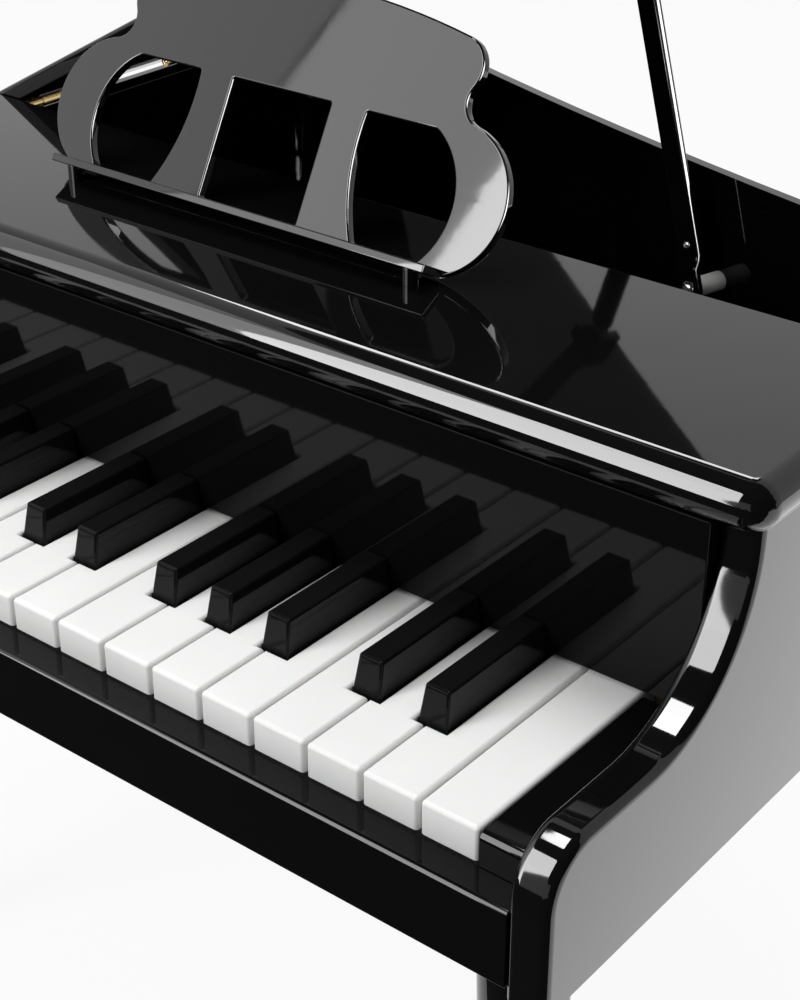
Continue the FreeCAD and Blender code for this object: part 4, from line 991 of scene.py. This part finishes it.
# %% [markdown]
# ## Screws of the tone bar and the prop
# Five screws hang the tone bar under its beam with their heads down, and one longer screw is the
# pivot of the prop. Their seats, lengths and radii are read off the solids that they stand for: along
# the screw's own axis, the widest ring of corners is the head.

# %% Screws of the tone bar and the prop
HEAD_SHARE = 0.9
SCREW_REACH = 0.02


def measured_screws(name, node_name, middles, way, material):
    """Screws on axes through the middles, with the sizes of the node's first screw."""
    rings = rings_about(node_name, middles[0], way, SCREW_REACH)
    head_radius = max(radius for along, radius in rings)
    head = [along for along, radius in rings if radius > head_radius * HEAD_SHARE]
    seat = min(head)
    shank_radius = max(radius for along, radius in rings if along < seat - SMALL_STEP)
    shank_length = seat - min(along for along, radius in rings)
    made = screws(name, [middle + way * seat for middle in middles], [way] * len(middles), head_radius,
                  max(head) - seat, shank_radius, shank_length, material)
    return stands_for(made, node_name)


bar_screw_middles = [(low + high) / 2 for low, high in loose_boxes("tone_bar_screws")]
measured_screws("tone_bar_cross_screws", "tone_bar_screws", bar_screw_middles, Vector((0, 0, -1)), steel)
prop_joint = next(joint for joint in frame["joints"] if joint["name"] == "prop_pivot")
pivot = Vector(prop_joint["pos_m"])
out_of_wall = Vector(prop_joint["axis"]).normalized()
measured_screws("prop_pivot_cross_screw", "prop_pivot_screw", [pivot], out_of_wall, steel)

# %% [markdown]
# ## Screws of the hinges
# Each hinge leaf is held by three small brass screws. They are trim that the construction model leaves
# out, so they replace nothing: they only ride on the body that they are driven into, the case or the
# lid. The lid stands open at rest, and its broadest face says how far.

# %% Screws of the hinges
LEAF_SCREW_SHARES = (0.14, 0.5, 0.86)
CASE_SCREW_RADIUS, CASE_SCREW_HEIGHT = 0.0024, 0.0006
LID_SCREW_RADIUS, LID_SCREW_HEIGHT = 0.0014, 0.0004
SHANK_SHARE = 0.5
LEAF_SHANK = 0.006
CASE_LEAF_MIDDLE = 0.0066
LID_LEAF_FACE, LID_LEAF_MIDDLE = 0.0019, 0.0049


def rides(thing, body):
    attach(thing, body)


leaf_corners = [corner.co for corner in frame["nodes"]["case_hinge_leaves"].data.vertices]
leaf_low = min(corner.z for corner in leaf_corners)
leaf_face = min(corner.x for corner in leaf_corners if corner.z < leaf_low + SMALL_STEP)
rows = [low.y + (high.y - low.y) * share
        for low, high in loose_boxes("case_hinge_leaves") for share in LEAF_SCREW_SHARES]
case_seats = [Vector((leaf_face, y, leaf_low + CASE_LEAF_MIDDLE)) for y in rows]
rides(screws("case_hinge_screws", case_seats, [(-1, 0, 0)] * len(rows), CASE_SCREW_RADIUS, CASE_SCREW_HEIGHT,
             CASE_SCREW_RADIUS * SHANK_SHARE, LEAF_SHANK, brass), "case")

pin = Vector(next(joint["pos_m"] for joint in frame["joints"] if joint["name"] == "lid_hinge"))
broadest = max(frame["nodes"]["lid"].data.polygons, key=lambda face: face.area).normal
lid_up = broadest if broadest.z > 0 else -broadest
lid_across = Vector((lid_up.z, 0, -lid_up.x))
on_leaf = pin + lid_across * LID_LEAF_FACE + lid_up * LID_LEAF_MIDDLE
lid_seats = [Vector((on_leaf.x, y, on_leaf.z)) for y in rows]
rides(screws("lid_hinge_screws", lid_seats, [-lid_across] * len(rows), LID_SCREW_RADIUS, LID_SCREW_HEIGHT,
             LID_SCREW_RADIUS * SHANK_SHARE, LEAF_SHANK, brass), "lid")

# %% [markdown]
# ## Screw of the prop's bar
# One more small screw sits in the prop's bar above its bend. It is trim too, and rides on the prop. It
# goes on the bar's outer face, on the line from the pivot to the tip.

# %% Screw of the prop's bar
BAR_TOP_SHARE = 0.8
BAR_SCREW_RISE = 0.0195
BAR_SCREW_RADIUS, BAR_SCREW_HEIGHT = 0.0021, 0.0009
bar_corners = [corner.co - pivot for corner in frame["nodes"]["prop_stick"].data.vertices]
tip = max(bar_corners, key=lambda corner: corner.z)
bar_face = max(corner.dot(out_of_wall) for corner in bar_corners if corner.z > tip.z * BAR_TOP_SHARE)
up_the_bar = (tip - out_of_wall * tip.dot(out_of_wall)).normalized()
bar_seat = pivot + up_the_bar * BAR_SCREW_RISE + out_of_wall * bar_face
rides(screws("prop_bar_screw", [bar_seat], [out_of_wall], BAR_SCREW_RADIUS, BAR_SCREW_HEIGHT,
             BAR_SCREW_RADIUS * SHANK_SHARE, BAR_SCREW_HEIGHT, steel), "prop")

# %% [markdown]
# ## Felt strips
# Two strips of felt quieten the keys, one where their fronts land and one where their tails rest. Felt
# has no crisp surface, so each strip is a fine grid of faces that a noise pushes in by fractions of a
# millimetre. It only pushes inwards, so the strip keeps clear of the keys above it.

# %% Felt strips
FELT_CELL, FEWEST_CELLS = 0.0018, 3
FELT_FUZZ = 0.0005
FELT_NOISE, FELT_DETAIL = 420, 3.0
matted, given, put = geometry_tree("felt_strips", [
    ("Strip Size", "Vector"), ("Along", "Int"), ("Across", "Int"), ("Thick", "Int"), ("Fuzz", "Float"),
    ("Finish", "Material"),
])
block = {"Size": given["Strip Size"], "Vertices X": given["Along"], "Vertices Y": given["Across"],
         "Vertices Z": given["Thick"]}
grid = node(matted, "GeometryNodeMeshCube", block)["Mesh"]
spread_out = {"Points": given["Geometry"], "Instance": grid}
laid = node(matted, "GeometryNodeInstanceOnPoints", spread_out)["Instances"]
laid = node(matted, "GeometryNodeRealizeInstances", {"Geometry": laid})["Geometry"]
tufts = node(matted, "ShaderNodeTexNoise", {"Scale": FELT_NOISE, "Detail": FELT_DETAIL})["Fac"]
push = math_node(matted, "MULTIPLY", math_node(matted, "SUBTRACT", tufts, 1.0), given["Fuzz"])
outward = node(matted, "GeometryNodeInputNormal")["Normal"]
offset = node(matted, "ShaderNodeVectorMath", {0: outward, "Scale": push}, operation="SCALE")["Vector"]
pushed = node(matted, "GeometryNodeSetPosition", {"Geometry": laid, "Offset": offset})["Geometry"]
finished(matted, pushed, math.pi, given["Finish"], put)

strips = loose_boxes("key_felts")
size = strips[0][1] - strips[0][0]
counts = [max(FEWEST_CELLS, round(length / FELT_CELL)) for length in size]
strip_middles = [tuple((low + high) / 2) for low, high in strips]
felt_piece = grown("felt_strips", matted, strip_middles, strip_size=tuple(size), along=counts[0],
                   across=counts[1], thick=counts[2], fuzz=FELT_FUZZ, finish=felt)
stands_for(felt_piece, "key_felts")
